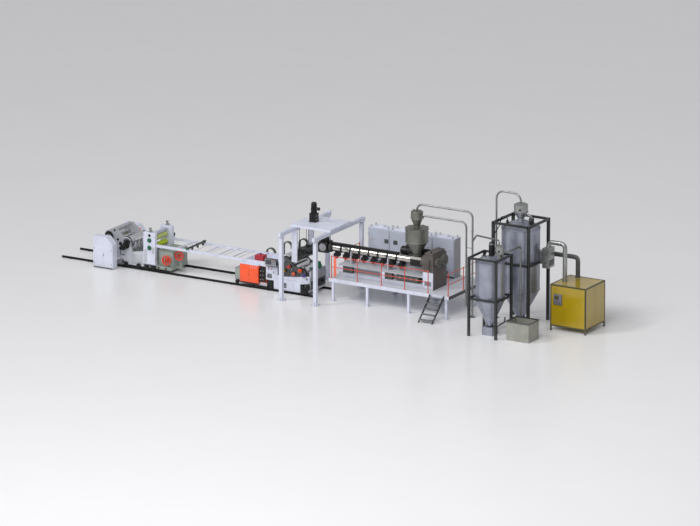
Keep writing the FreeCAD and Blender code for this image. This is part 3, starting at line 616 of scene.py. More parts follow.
# Haul-off
haul = {"x": -9.050, "upper": 1.520, "lower": 1.150, "left": -9.390, "right": -8.740, "out": 0.850,
        "top": 1.680, "head": 1.905, "cap": 0.112, "column": 0.755, "face": 0.848, "capOut": 0.878,
        "hubOut": 0.893, "driveX": -8.870,
        "reelHubs": ((-8.160, -0.819, 0.640), (-7.640, -0.519, 0.870))}


def haulBearings():
    green, metal = newShapes(2)
    for side, face in bothSides:
        for z in (haul["upper"], haul["lower"]):
            x, capOut, hubOut = haul["x"], side * haul["capOut"], side * haul["hubOut"]
            rod(green, (x, side * haul["face"], z), (x, capOut, z), haul["cap"], sides=36, edge=0.005)
            rod(green, (x, side * 0.876, z), (x, hubOut, z), 0.062, sides=32, edge=0.004)
            boltHeads(metal, ringPlaces((x, capOut, z), "Y", 0.092, 8), face, 0.009, 0.012)
            boltHeads(metal, [(x, hubOut, z)], face, 0.016, 0.014)
    carriage("haulBearingCaps", green, "green")
    carriage("haulBolts", metal, "pipeSteel")


def haulColumns():
    panel, dark = newShapes(2)
    for side, face in bothSides:
        at = side * haul["out"]
        onFace(panel, face, at, -9.35, -9.20, 0.40, 1.05, 0.008, 0.003)
        onFace(panel, face, at, -8.92, -8.78, 0.90, 1.20, 0.008, 0.003)
        onFace(dark, face, at, -9.385, -8.745, 0.305, 0.345, 0.004)
    for y0, y1 in ((-0.82, -0.69), (0.69, 0.82)):
        onFace(panel, "+X", haul["right"], y0, y1, 0.5, 1.1, 0.008, 0.003)
    heads, cylinders = newShapes(2)
    x, top, head = haul["x"], haul["top"], haul["head"]
    port = head + 0.10
    for y in (-haul["column"], haul["column"]):
        block(heads, (haul["left"], y - 0.095, top - 0.002), (haul["right"], y + 0.095, head), 0.012)
        block(cylinders, (x - 0.08, y - 0.07, head - 0.002), (x + 0.08, y + 0.07, head + 0.035), 0.006)
        rod(cylinders, (x, y, head), (x, y, head + 0.22), 0.055, sides=28, edge=0.008)
        for z in (head + 0.05, head + 0.17):
            collar(dark, (x, y, z), 0.053, 0.064, 0.0, 0.022)
        rod(dark, (x + 0.05, y, port), (x + 0.085, y, port), 0.012, sides=10)
        tube(dark, [(x + 0.08, y, port), (x + 0.16, y, port), (x + 0.16, y, head - 0.002)], 0.009, 0.03,
             8)
    carriage("haulColumnHeads", heads, "white")
    carriage("haulCylinders", cylinders, "grey")
    carriage("haulPanels", panel, "paleGrey")
    carriage("haulVents", dark, "darkGrey")
    beam = bmesh.new()
    block(beam, (x - 0.07, -0.66, top + 0.01), (x + 0.07, 0.66, top + 0.146), 0.006)
    carriage("haulBeamCover", beam, "lilac")


def haulDrive():
    dark = bmesh.new()
    block(dark, (-8.93, 0.848, 1.14), (-8.78, 0.96, 1.50), 0.012)
    for z, r in ((1.42, 0.105), (1.22, 0.085)):
        rod(dark, (haul["driveX"], 0.955, z), (haul["driveX"], 1.03, z), r, sides=32, edge=0.006)
        collar(dark, (haul["driveX"], 1.03, z), 0.02, 0.045, 0.0, 0.02, "Y")
    for x in (-9.36, -9.00, -8.60, -8.20):
        rod(dark, (x, -0.741, 0.225), (x, -0.80, 0.225), 0.035, sides=20, edge=0.004)
    for x, y, z in haul["reelHubs"]:
        rod(dark, (x, y, z), (x, y - 0.016, z), 0.035, sides=20)
    carriage("haulDrive", dark, "black")


def haulBase():
    panel, metal = newShapes(2)
    for x0, x1 in ((-8.66, -8.42), (-8.40, -7.93)):
        onFace(panel, "-Y", -0.60, x0, x1, 0.34, 1.00, 0.008, 0.003)
        boltHeads(metal, [(x, -0.608, z) for x in (x0 + 0.03, x1 - 0.03) for z in (0.37, 0.97)], "-Y",
                  0.009, 0.008)
    onFace(panel, "+X", -7.90, -0.56, 0.66, 0.34, 1.00, 0.008, 0.003)
    onFace(panel, "+Y", 0.70, -8.66, -7.93, 0.34, 1.00, 0.008, 0.003)
    louvres(metal, "+X", -7.892, 0.10, 0.50, 0.45, 0.75, 8, 0.006)
    boltHeads(metal, [(x, -0.74, 0.19) for x in (-9.40, -9.13, -8.75, -8.40, -8.05)], "-Y", 0.014,
              0.012)
    carriage("haulBasePanels", panel, "sage")
    carriage("haulBaseScrews", metal, "pipeSteel")


haulBearings()
haulColumns()
haulDrive()
haulBase()
print("haul-off")

# Roller table and slitter
table = {"left": -8.740, "right": -2.650, "out": 0.770,
         "rollers": (-7.670, -6.160, -5.405, -4.650, -3.895)}
slitter = {"x": -6.980, "z": 1.390, "shaftEnds": (0.769, 0.830, 0.850), "knives": (-0.48, 0.0, 0.48),
           "clamps": (-0.6, -0.3, 0.3, 0.6)}


def tableParts():
    metal, light = newShapes(2)
    for side, face in bothSides:
        at = side * table["out"]
        for x in table["rollers"]:
            onFace(light, face, at, x - 0.06, x + 0.06, 1.222, 1.328, 0.010, 0.003)
            rod(metal, (x, at + side * 0.010, 1.255), (x, at + side * 0.030, 1.255), 0.020, sides=16)
            boltHeads(metal, [(x + dx, at + side * 0.010, 1.30) for dx in (-0.04, 0.04)], face, 0.008,
                      0.008)
        for i in range(8):
            x = table["left"] + 0.35 + 0.76 * i
            boltHeads(metal, [(x, at, 1.24)], face, 0.010, 0.008)
        for x0, x1 in ((table["left"] + 0.005, -7.06), (-6.90, table["right"] - 0.005)):
            block(light, (x0, side * 0.715, 1.334), (x1, side * 0.775, 1.342), 0.002)
    for i in range(7):
        x = -8.20 + 0.80 * i
        if abs(x - slitter["x"]) > 0.2:
            rod(metal, (x, -0.722, 1.318), (x, 0.722, 1.318), 0.013, sides=14)
    carriage("tableBrackets", light, "white")
    carriage("tableIdlers", metal, "chrome")


def slitterParts():
    dark, green = newShapes(2)
    x, z = slitter["x"], slitter["z"]
    for side in (-1, 1):
        inner, middle, outer = [side * y for y in slitter["shaftEnds"]]
        rod(green, (x, inner, z), (x, middle, z), 0.018, sides=12)
        rod(green, (x, middle, z), (x, outer, z), 0.055, sides=24, edge=0.005)
    for y in slitter["knives"]:
        rod(green, (-6.89, y, 1.459), (-6.89, y, 1.50), 0.022, sides=16, edge=0.004)
        boltHeads(dark, [(-6.85, y + dy, 1.41) for dy in (-0.03, 0.03)], "+X", 0.008, 0.008)
    for y in slitter["clamps"]:
        block(dark, (-7.022, y - 0.02, 1.345), (-6.938, y + 0.02, 1.425), 0.003)
    carriage("slitterKnobs", green, "green")
    carriage("slitterClamps", dark, "black")


tableParts()
slitterParts()
print("roller table")

# Calender
calender = {"left": -4.030, "orangeRight": -3.010, "right": -2.650, "out": 0.850, "plate": 0.740,
            "cover": 0.800, "top": 1.110, "control": (-2.560, -1.960, 1.010),
            "panelLow": 1.260, "panelTop": 1.570,
            "rolls": ((-1.640, 1.550), (-1.270, 1.170), (-0.740, 1.060)),
            "drives": ((-1.310, 1.320, "red"), (-1.580, 1.080, "yellow"), (-1.060, 1.010, "coral"),
                       (-0.700, 1.215, "orange"), (-0.480, 1.010, "violet")),
            "hoods": ((-3.360, 1.300), (-2.430, 1.740), (-1.560, 2.000)), "hoodNear": 0.797,
            "end": -0.240, "endHalf": 0.655, "serviceZ": (0.45, 0.66, 0.87),
            "crimson": (-3.304, -2.846, -0.704, -0.336, 1.106, 1.584),
            "endMotor": (-0.310, 0.200), "endMotorRadius": 0.086, "sageLeft": -4.330}


def orangeDoors():
    doors, dark, metal = newShapes(3)
    at = -calender["out"]
    left, right = calender["left"], calender["orangeRight"]
    middle = (left + right) / 2
    for x0, x1 in ((left + 0.03, middle - 0.01), (middle + 0.01, right - 0.03)):
        onFace(doors, "-Y", at, x0, x1, 0.27, 0.93, 0.010, 0.004)
        for z in (0.36, 0.84):
            rod(metal, (x0 + 0.012, at - 0.012, z - 0.03), (x0 + 0.012, at - 0.012, z + 0.03), 0.009,
                sides=10)
        onFace(metal, "-Y", at - 0.010, x1 - 0.05, x1 - 0.03, 0.58, 0.70, 0.020, 0.003)
    onFace(dark, "-Y", at, left + 0.005, right - 0.005, 0.192, 0.25, 0.004)
    # A flat black sheet covers the cabinet's right side face
    onFace(dark, "+X", right, -0.845, -0.745, 0.25, 1.00, 0.003)
    onFace(dark, "-Y", -calender["plate"], right + 0.012, calender["right"] - 0.012, 0.32, 1.09, 0.004)
    for z in calender["serviceZ"]:
        rod(metal, (-2.93, -0.744, z), (-2.93, -0.80, z), 0.035, sides=20, edge=0.004)
        rod(metal, (-2.78, -0.744, z), (-2.78, -0.785, z), 0.024, sides=16, edge=0.003)
        tube(metal, [(-2.90, -0.77, z), (-2.83, -0.77, z), (-2.83, -0.77, z + 0.12)], 0.009, 0.03, 8)
    for x0, x1 in ((-3.96, -3.60), (-3.56, -3.10)):
        louvres(dark, "+Y", calender["plate"], x0, x1, 0.40, 0.70, 8)
    carriage("orangeDoors", doors, "orange")
    carriage("orangeVentsAndDarkSheets", dark, "black")
    carriage("orangeFittings", metal, "pipeSteel")
    white = bmesh.new()
    top = calender["top"]
    plates = ((left + 0.062, calender["right"] - 0.005, -0.735, 0.735, 0.008, 0.002),
              (left - 0.005, right + 0.005, -0.855, -0.775, 0.05, 0.006),
              (left - 0.005, left + 0.06, -0.715, 0.715, 0.03, 0.006))
    for x0, x1, y0, y1, thick, edge in plates:
        block(white, (x0, y0, top - 0.002), (x1, y1, top + thick), edge)
    for x in (-3.44, -3.34, -3.24, -3.14):
        for z in (0.97, 1.04):
            rod(white, (x, at + 0.002, z), (x, at - 0.014, z), 0.016, sides=16, edge=0.003)
    carriage("orangeTopFrame", white, "white")


def crimsonUnit():
    shape = bmesh.new()
    x0, x1, y0, y1, z0, z1 = calender["crimson"]
    block(shape, (x0, y0, z0), (x1, y1, z1), 0.012, 3)
    carriage("crimsonUnit", shape, "crimson")
    dark = bmesh.new()
    louvres(dark, "-Y", y0, x0 + 0.07, x1 - 0.07, 1.20, 1.34, 5)
    frameOn(dark, "-Y", y0, x0 + 0.05, x1 - 0.05, 1.38, 1.55, 0.006, 0.004)
    louvres(dark, "+X", x1, y0 + 0.06, y1 - 0.06, 1.20, 1.40, 6)
    rod(dark, (-3.07, -0.52, 1.582), (-3.07, -0.52, 1.66), 0.03, sides=16, edge=0.005)
    carriage("crimsonVents", dark, "black")


def controlPanel():
    left, right, face = calender["control"]
    low, high = calender["panelLow"], calender["panelTop"]
    dark = bmesh.new()
    onFace(dark, "-Y", -face, left + 0.04, left + 0.36, low + 0.06, high - 0.04, 0.008, 0.003)
    onFace(dark, "+X", right, -0.98, -0.83, low + 0.05, high - 0.05, 0.004)
    block(dark, (left - 0.01, -face - 0.02, high - 0.002),
          (right + 0.01, -calender["cover"] - 0.01, high + 0.012), 0.004)
    onFace(dark, "-Y", -0.890, left + 0.03, left + 0.50, 1.19, 1.25, 0.006)
    for i in range(3):
        for j in range(2):
            x, z = left + 0.42 + 0.06 * i, low + 0.10 + 0.08 * j
            rod(dark, (x, -face, z), (x, -face - 0.020, z), 0.013, sides=14, edge=0.002)
    carriage("controlScreen", dark, "glass")
    red = bmesh.new()
    rod(red, (left + 0.45, -face, high - 0.06), (left + 0.45, -face - 0.035, high - 0.06), 0.022,
        sides=20, edge=0.004)
    rod(red, (-2.30, -0.802, 1.06), (-2.30, -0.86, 1.06), 0.020, sides=16, edge=0.003)
    carriage("controlStop", red, "red")
    green = bmesh.new()
    rod(green, (left + 0.53, -face, high - 0.06), (left + 0.53, -face - 0.02, high - 0.06), 0.016,
        sides=16, edge=0.003)
    carriage("controlStart", green, "green")
    metal = bmesh.new()
    for x, z in ((-2.44, 1.08), (-2.16, 0.92), (-2.50, 0.72)):
        rod(metal, (x, -0.802, z), (x, -0.90, z), 0.012, sides=12)
        rod(metal, (x, -0.89, z - 0.05), (x, -0.89, z + 0.05), 0.015, sides=14, edge=0.004)
    carriage("controlHandles", metal, "pipeSteel")


def sideCovers():
    metal, dark, seams = newShapes(3)
    for side, face in bothSides:
        at = side * calender["cover"]
        places = [(x, at, 0.16) for x in (-2.14, -1.86, -1.58, -1.31, -1.04, -0.82)]
        places += [(x, at, 0.70) for x in (-2.14, -1.80, -1.40, -1.00, -0.60, -0.30)]
        places += [(x, at, z) for x in (-2.57, -2.06) for z in (0.57, 0.85, 1.20)]
        boltHeads(metal, places, face, 0.013, 0.012)
        for x in (-1.84, -1.14):
            onFace(seams, face, at, x - 0.003, x + 0.003, 0.13, 0.74, 0.0015)
        onFace(seams, face, at, -2.60, -0.26, 0.637, 0.643, 0.0015)
        rod(metal, (-0.38, at, 0.82), (-0.38, at + side * 0.04, 0.82), 0.045, sides=28, edge=0.006)
        rod(metal, (-0.38, at + side * 0.04, 0.82), (-0.38, at + side * 0.06, 0.82), 0.018, sides=16)
        louvres(dark, face, at, -1.76, -1.50, 0.24, 0.48, 7)
        louvres(dark, face, at, -2.54, -2.30, 0.60, 0.82, 6)
    housing = bmesh.new()
    for x, z in calender["rolls"]:
        for side, face in bothSides:
            at = side * calender["cover"]
            collar(housing, (x, side * (calender["plate"] - 0.001), z), 0.051, 0.078, 0.0, side * 0.040,
                   "Y", 32)
            rod(housing, (x, side * 0.777, z), (x, at, z), 0.078, sides=32, edge=0.003)
            boltHeads(metal, ringPlaces((x, at, z), "Y", 0.058, 6), face, 0.009, 0.010)
            rod(dark, (x, at - side * 0.002, z), (x, at + side * 0.055, z), 0.030, sides=20, edge=0.004)
            tube(dark, [(x, at + side * 0.04, z), (x, at + side * 0.10, z),
                        (x, at + side * 0.10, z - 0.16)], 0.013, 0.035, 8)
    carriage("bearingHousings", housing, "grey")
    carriage("coverBolts", metal, "pipeSteel")
    carriage("coverVents", dark, "black")
    carriage("coverSeams", seams, "darkGrey")


def driveCaps():
    out = calender["plate"] + 0.220
    for i, (x, z, tone) in enumerate(calender["drives"]):
        cap = bmesh.new()
        rod(cap, (x, -out + 0.002, z), (x, -out - 0.024, z), 0.072, sides=32, edge=0.008)
        collar(cap, (x, -out + 0.06, z), 0.0595, 0.080, -0.045, 0.045, "Y")
        carriage("driveCap" + str(i + 1), cap, tone)
    dark = bmesh.new()
    for x, z, tone in calender["drives"]:
        for r in (0.012, 0.026, 0.040):
            collar(dark, (x, -out - 0.022, z), r, r + 0.006, -0.004, 0.001, "Y", 20)
        for y in (-0.86, -0.89):
            collar(dark, (x, y, z), 0.0595, 0.066, -0.006, 0.006, "Y")
    block(dark, (-0.66, -0.90, 0.10), (-0.34, -0.742, 0.34), 0.012)
    rod(dark, (-0.30, -0.88, 0.42), (-0.30, -0.802, 0.42), 0.12, sides=32, edge=0.008)
    rod(dark, (-0.30, -0.90, 0.42), (-0.30, -0.88, 0.42), 0.05, sides=24, edge=0.004)
    rod(dark, (-0.62, -0.87, 0.46), (-0.62, -0.802, 0.46), 0.075, sides=28, edge=0.006)
    block(dark, (-2.54, -0.86, 0.12), (-2.24, -0.742, 0.46), 0.012)
    carriage("calenderMotors", dark, "black")


def hoodCovers():
    shape = bmesh.new()
    for x, z in calender["hoods"]:
        slab(shape, arcBand(x, z, 0.2035, 0.2520, -13, 180), "Y", calender["hoodNear"], 0.953)
        block(shape, (x - 0.252, calender["hoodNear"], 0.30), (x - 0.203, 0.953, z), 0.0)
    carriage("hoodCovers", shape, "sageDark")
    metal = bmesh.new()
    for x, z in calender["hoods"]:
        for a in (20, 70, 120, 165):
            c, s = math.cos(math.radians(a)), math.sin(math.radians(a))
            boltHeads(metal, [(x + 0.228 * c, calender["hoodNear"], z + 0.228 * s)], "-Y", 0.010, 0.008)
        rod(metal, (x + 0.23, 0.82, z - 0.06), (x + 0.23, 0.93, z - 0.06), 0.028, sides=16, edge=0.004)
    carriage("hoodBolts", metal, "pipeSteel")


def calenderEnd():
    green = bmesh.new()
    block(green, (-0.40, 0.10, 1.120), (-0.225, 0.30, 1.165), 0.006)
    x, y = calender["endMotor"]
    radius = calender["endMotorRadius"]
    rod(green, (x, y, 1.16), (x, y, 1.432), radius, sides=32)
    for p in ringPlaces((x, y, 1.20), "Z", radius + 0.002, 16):
        rod(green, p, p + Vector((0, 0, 0.19)), 0.005, sides=6)
    rod(green, (x, y, 1.43), (x, y, 1.475), radius + 0.002, 0.060, 32, 0.006)
    block(green, (-0.26, 0.14, 1.24), (-0.19, 0.26, 1.34), 0.006)
    carriage("endMotorCover", green, "green")
    panel, grey, black = newShapes(3)
    end, half = calender["end"], calender["endHalf"]
    onFace(grey, "+X", end, -half, half, 0.72, 1.145, 0.010, 0.004)
    block(grey, (-0.335, -0.664, 1.146), (-0.228, 0.664, 1.156), 0.003)
    onFace(black, "+X", end, -half, half, 0.305, 0.70, 0.010, 0.004)
    for y in (-0.42, 0.0, 0.42):
        rod(black, (-0.232, y, 0.52), (-0.16, y, 0.52), 0.085, sides=28, edge=0.010)
    carriage("calenderEndCover", grey, "grey")
    carriage("calenderEndDrives", black, "black")
    for y0, y1 in ((-0.74, -0.28), (-0.24, 0.26)):
        onFace(panel, "-X", calender["sageLeft"], y0, y1, 0.34, 0.82, 0.008, 0.003)
    onFace(panel, "-Y", -0.800, -4.30, -4.06, 0.34, 0.82, 0.008, 0.003)
    carriage("calenderEndPanels", panel, "sage")
    metal = bmesh.new()
    boltHeads(metal, [(end + 0.010, y, z) for y in (-0.60, -0.20, 0.20, 0.60) for z in (0.76, 1.10)], "+X",
              0.011, 0.010)
    boltHeads(metal, [(x, -calender["plate"], 0.19) for x in (-4.28, -3.0, -2.84)], "-Y", 0.014, 0.012)
    carriage("calenderEndBolts", metal, "pipeSteel")


orangeDoors()
crimsonUnit()
controlPanel()
sideCovers()
driveCaps()
hoodCovers()
calenderEnd()
print("calender")

# Gantry, hoist, die and melt pump
gantry = {"left": -1.070, "right": 0.790, "front": -1.980, "back": 2.250, "top": 3.280, "half": 0.085,
          "trolleyTop": 3.400, "hoist": (-0.530, 0.100), "gusset": 0.006}
die = {"x": -1.080, "half": 0.164, "bottom": 1.575, "top": 2.048, "end": 0.648, "bolts": 20,
       "boltHalf": 0.60}
meltAxis = 2.330  # height of the screw, the pump and the upper melt pipe
pump = {"x": 0.150, "side": 0.260, "right": 0.460, "bolts": 0.21, "pipe": 0.085, "flange": 0.069,
        "dieJoint": (-0.915, 1.880), "pumpJoint": -0.125, "top": 2.750}


def gantryBolts():
    metal, white = newShapes(2)
    low = gantry["top"] - 2 * gantry["half"]
    for x in (gantry["left"], gantry["right"]):
        for y in (gantry["front"], gantry["back"]):
            boltHeads(metal, cornerPlaces(x, y, footPlate, 0.14), "+Z", 0.018, 0.022)
            boltHeads(metal, cornerPlaces(x, y, low - 0.020, 0.11), "-Z", 0.013, 0.012)
            thick = gantry["gusset"]
            for s in (-1, 1):
                slab(white, [(y + s * 0.084, low - 0.14), (y + s * 0.084, low - 0.018),
                             (y + s * 0.125, low - 0.018)], "X", x - thick, x + thick)
                for across, axis, along in ((y, "X", x), (x, "Y", y)):
                    slab(white, [(across + s * 0.084, 0.019), (across + s * 0.160, 0.019),
                                 (across + s * 0.084, 0.170)], axis, along - thick, along + thick)
        for y0, y1 in ((-2.15, -0.86), (1.21, 2.42)):
            block(white, (x - 0.020, y0, gantry["top"] - 0.002), (x + 0.020, y1, gantry["top"] + 0.024),
                  0.003)
        for y in (-2.18, 2.45):
            face = "-Y" if y < 0 else "+Y"
            boltHeads(metal, [(x + dx, y, z) for dx in (-0.07, 0.07) for z in (3.15, 3.24)], face,
                      0.012, 0.010)
    block(white, (-1.17, 2.32, 3.278), (-0.97, 2.44, 3.36), 0.006)
    fixed("gantryBolts", metal, "pipeSteel")
    fixed("gantryRails", white, "white")


def trolleyParts():
    metal, dark = newShapes(2)
    top = gantry["trolleyTop"]
    for x in (-1.20, -0.60, 0.0, 0.60, 0.92):
        boltHeads(metal, [(x, y, top) for y in (-0.81, 0.41)], "+Z", 0.014, 0.012)
    for y in (-0.75, 0.75):
        boltHeads(metal, [(-1.00 + dx, y + math.copysign(0.040, y), z) for dx in (-0.18, 0.02)
                          for z in (1.66, 1.94)], "+Y" if y > 0 else "-Y", 0.012, 0.012)
    for x in (-1.14, -1.02):
        for y in (-0.42, 0.42):
            rod(dark, (x, y, die["top"]), (x, y, 3.112), 0.012, sides=12)
            rod(dark, (x, y, die["top"]), (x, y, 2.10), 0.030, sides=16, edge=0.004)
            rod(dark, (x, y, 3.06), (x, y, 3.112), 0.030, sides=16, edge=0.004)
    x, y = gantry["hoist"]
    gear = top + 0.42
    end = gear + 0.46
    block(dark, (x - 0.185, y - 0.165, top), (x + 0.185, y + 0.165, top + 0.025), 0.004)
    collar(dark, (x, y, gear), 0.0, 0.160, -0.002, 0.030)
    rod(dark, (x, y, end - 0.002), (x, y, end + 0.05), 0.135, 0.110, 32, 0.010)
    for r in (0.02, 0.05, 0.08):
        collar(dark, (x, y, end + 0.05), r, r + 0.010, -0.002, 0.006)
    for i in range(8):
        collar(dark, (x, y, gear + 0.06 + 0.047 * i), 0.129, 0.143, -0.008, 0.008)
    block(dark, (x - 0.05, y - 0.21, gear + 0.12), (x + 0.07, y - 0.125, gear + 0.28), 0.008)
    rod(dark, (x + 0.255, y, gear + 0.22), (x + 0.30, y, gear + 0.22), 0.082, sides=28, edge=0.006)
    tube(dark, [(x + 0.01, y - 0.17, gear + 0.13), (x + 0.01, y - 0.17, top + 0.10),
                (x + 0.01, y - 0.36, top + 0.10), (x + 0.01, y - 0.36, top - 0.002)], 0.012, 0.05, 8)
    boltHeads(metal, ringPlaces((x, y, gear + 0.030), "Z", 0.145, 8), "+Z", 0.010, 0.010)
    for s in (-1, 1):
        for z in (top + 0.12, top + 0.30):
            rod(metal, (x + 0.168, y + s * 0.07, z), (x + 0.182, y + s * 0.07, z), 0.030, sides=20)
    fixed("trolleyBolts", metal, "pipeSteel")
    fixed("hoistParts", dark, "black")


def dieParts():
    metal, dark = newShapes(2)
    x, half = die["x"], die["half"]
    for i in range(die["bolts"]):
        y = -die["boltHalf"] + 2 * die["boltHalf"] * i / (die["bolts"] - 1)
        for s, z in ((1, 1.78), (1, 1.98), (-1, 1.96)):
            rod(metal, (x + s * half, y, z), (x + s * (half + 0.021), y, z), 0.014, sides=6)
        for s in (-1, 1):
            rod(metal, (x + s * 0.095, y, 1.625), (x + s * 0.135, y, 1.60), 0.010, sides=6)
    for side in (-1, 1):
        slab(dark, [(x - 0.015, die["bottom"]), (x + 0.015, die["bottom"]), (x + 0.14, 1.71),
                    (x + 0.14, 1.79), (x - 0.14, 1.79), (x - 0.14, 1.71)], "Y", side * die["end"],
             side * (die["end"] + 0.020))
        for dx in (-0.10, 0.10):
            boltHeads(metal, [(x + dx, side * (die["end"] + 0.020), 1.75)],
                      "+Y" if side > 0 else "-Y", 0.012, 0.010)
    for y in (-0.52, -0.26, 0.26, 0.52):
        block(dark, (x - 0.10, y - 0.06, die["top"]), (x + 0.10, y + 0.06, die["top"] + 0.037), 0.006)
        cableY = math.copysign(0.12, y)
        tube(dark, [(x, y, 2.08), (x, y, 2.20), (x + 0.30, y, 2.20), (x + 0.30, cableY, 2.20),
                    (x + 0.50, cableY, 2.20)], 0.014, 0.06, 8)
    for i in range(5):
        y = -0.50 + 0.25 * i
        block(dark, (x + half, y - 0.08, 1.84), (x + 0.190, y + 0.08, 1.92), 0.004)
    fixed("dieBolts", metal, "pipeSteel")
    fixed("dieHeaters", dark, "dieSteel")


def pumpParts():
    metal, dark, pale = newShapes(3)
    x, z, reach = pump["x"], meltAxis, pump["bolts"]
    for side, face in bothSides:
        at = side * pump["side"]
        rod(pale, (x, at - side * 0.002, z), (x, at + side * 0.018, z), 0.185, sides=40,
            edge=0.006)
        rod(pale, (x, at + side * 0.018, z), (x, at + side * 0.040, z), 0.085, sides=32,
            edge=0.006)
        boltHeads(metal, ringPlaces((x, at + side * 0.018, z), "Y", 0.145, 10, 0.3), face, 0.014, 0.014)
        boltHeads(metal, [(x + dx, at, z + dz) for dx in (-reach, reach)
                          for dz in (-reach, reach)], face, 0.018, 0.018)
    collar(dark, (pump["right"], 0, z), 0.128, 0.240, -0.002, 0.045, "X", 40)
    boltHeads(metal, ringPlaces((pump["right"] + 0.045, 0, z), "X", 0.205, 12), "+X", 0.015, 0.020)
    boltHeads(metal, ringPlaces((pump["right"], 0, z), "X", 0.205, 12), "-X", 0.015, 0.020)
    boltHeads(metal, [(0.03 + 0.22 * i, y, pump["top"]) for i in range(2) for y in (-0.10, 0.10)],
              "+Z", 0.012, 0.010)
    for x0 in (-0.36, -0.26):
        rod(dark, (x0, 0, z), (x0 + 0.06, 0, z), pump["pipe"], sides=28, edge=0.004)
    for z0 in (2.02, 2.14):
        rod(dark, (-0.5575, 0, z0), (-0.5575, 0, z0 + 0.07), pump["pipe"], sides=28, edge=0.004)
    jointX, jointZ = pump["dieJoint"]
    collar(dark, (jointX, 0, jointZ), pump["flange"], 0.120, 0.0, 0.035, "X")
    collar(dark, (pump["pumpJoint"], 0, z), pump["flange"], 0.120, -0.035, 0.0, "X")
    boltHeads(metal, ringPlaces((jointX + 0.035, 0, jointZ), "X", 0.098, 8), "+X", 0.010, 0.012)
    boltHeads(metal, ringPlaces((pump["pumpJoint"] - 0.035, 0, z), "X", 0.098, 8), "-X", 0.010, 0.012)
    block(dark, (0.05, -0.10, pump["top"] - 0.002), (0.25, 0.10, pump["top"] + 0.050), 0.008)
    tube(dark, [(0.15, 0.0, 2.79), (0.15, 0.0, 2.86), (0.42, 0.0, 2.86), (0.42, 0.0, 2.60),
                (0.60, 0.0, 2.56)], 0.014, 0.05, 8)
    fixed("pumpFace", pale, "grey")
    fixed("pumpBolts", metal, "pipeSteel")
    fixed("pumpHeaters", dark, "darkGrey")


gantryBolts()
trolleyParts()
dieParts()
pumpParts()
print("gantry and die")

# Extruder
screw = {"z": meltAxis, "first": 0.550, "pitch": 0.500, "count": 8, "blower": 2.010, "trayRibs": 15,
         "throat": (4.872, 5.448)}


def barrelParts():
    dark, metal, red, grille = newShapes(4)
    z = screw["z"]
    for i in range(screw["count"]):
        x = screw["first"] + screw["pitch"] * i
        block(dark, (x - 0.015, -0.20, z - 0.06), (x + 0.075, -0.178, z + 0.06), 0.004)
        boltHeads(metal, [(x + 0.03, -0.200, z + dz) for dz in (-0.04, 0.04)], "-Y", 0.010, 0.014)
        for start in (0.075, 0.395):
            collar(metal, (x, 0, z), 0.164, 0.172, start, start + 0.010, "X", 36)
        tube(metal, [(x + 0.19, 0.0, z + 0.16), (x + 0.19, 0.0, z + 0.29)], 0.010, 0.02, 8)
        xb, zb = x + screw["pitch"] / 2, screw["blower"]
        rod(grille, (xb, -0.150, zb), (xb, -0.160, zb), 0.108, sides=32, edge=0.003)
        for r in (0.03, 0.055, 0.08):
            collar(dark, (xb, -0.160, zb), r, r + 0.008, -0.005, 0.001, "Y", 24)
        block(red, (xb - 0.055, -0.12, zb - 0.175), (xb + 0.055, -0.02, zb - 0.118), 0.008)
        block(grille, (xb - 0.082, -0.102, z - 0.20), (xb + 0.082, 0.102, z - 0.155), 0.004)
    low = screw["first"] - 0.03
    high = screw["first"] + screw["pitch"] * (screw["count"] - 1) + 0.09
    block(dark, (low, -0.085, z + 0.228), (high, 0.085, z + 0.245), 0.003)
    block(dark, (low + 0.01, -0.070, z + 0.170), (high - 0.01, 0.070, z + 0.230))
    for i in range(screw["trayRibs"]):
        x = low + 0.05 + 0.24 * i
        onFace(dark, "-Y", -0.070, x, x + 0.012, z + 0.176, z + 0.228, 0.010)
    turnX = high + 0.12
    tube(dark, [(high - 0.02, 0.05, z + 0.22), (turnX, 0.05, z + 0.22), (turnX, 0.30, z + 0.22),
                (turnX, 0.30, 1.70)], 0.025, 0.08, 10)
    x0, x1 = screw["throat"]
    onFace(dark, "-Y", -0.220, x0, x1, 2.112, 2.420, 0.006, 0.002)
    block(dark, (x0, -0.226, 2.098), (x1, 0.226, 2.112), 0.003)
    fixed("heaterBoxes", dark, "black")
    fixed("barrelRings", metal, "pipeSteel")
    fixed("blowerFeet", red, "red")
    fixed("blowerGrilles", grille, "black")


base = {"right": 6.210, "front": -0.400, "low": 1.100, "step": 1.320, "under": 1.640,
        "plate": (5.665, 6.215, 1.160, 1.925), "vents": ((1.345, 1.84), (3.615, 3.99)),
        "pads": ((1.08, 1.34), (3.39, 3.61)), "bands": (1.20, 2.10, 3.00, 3.90, 4.80)}


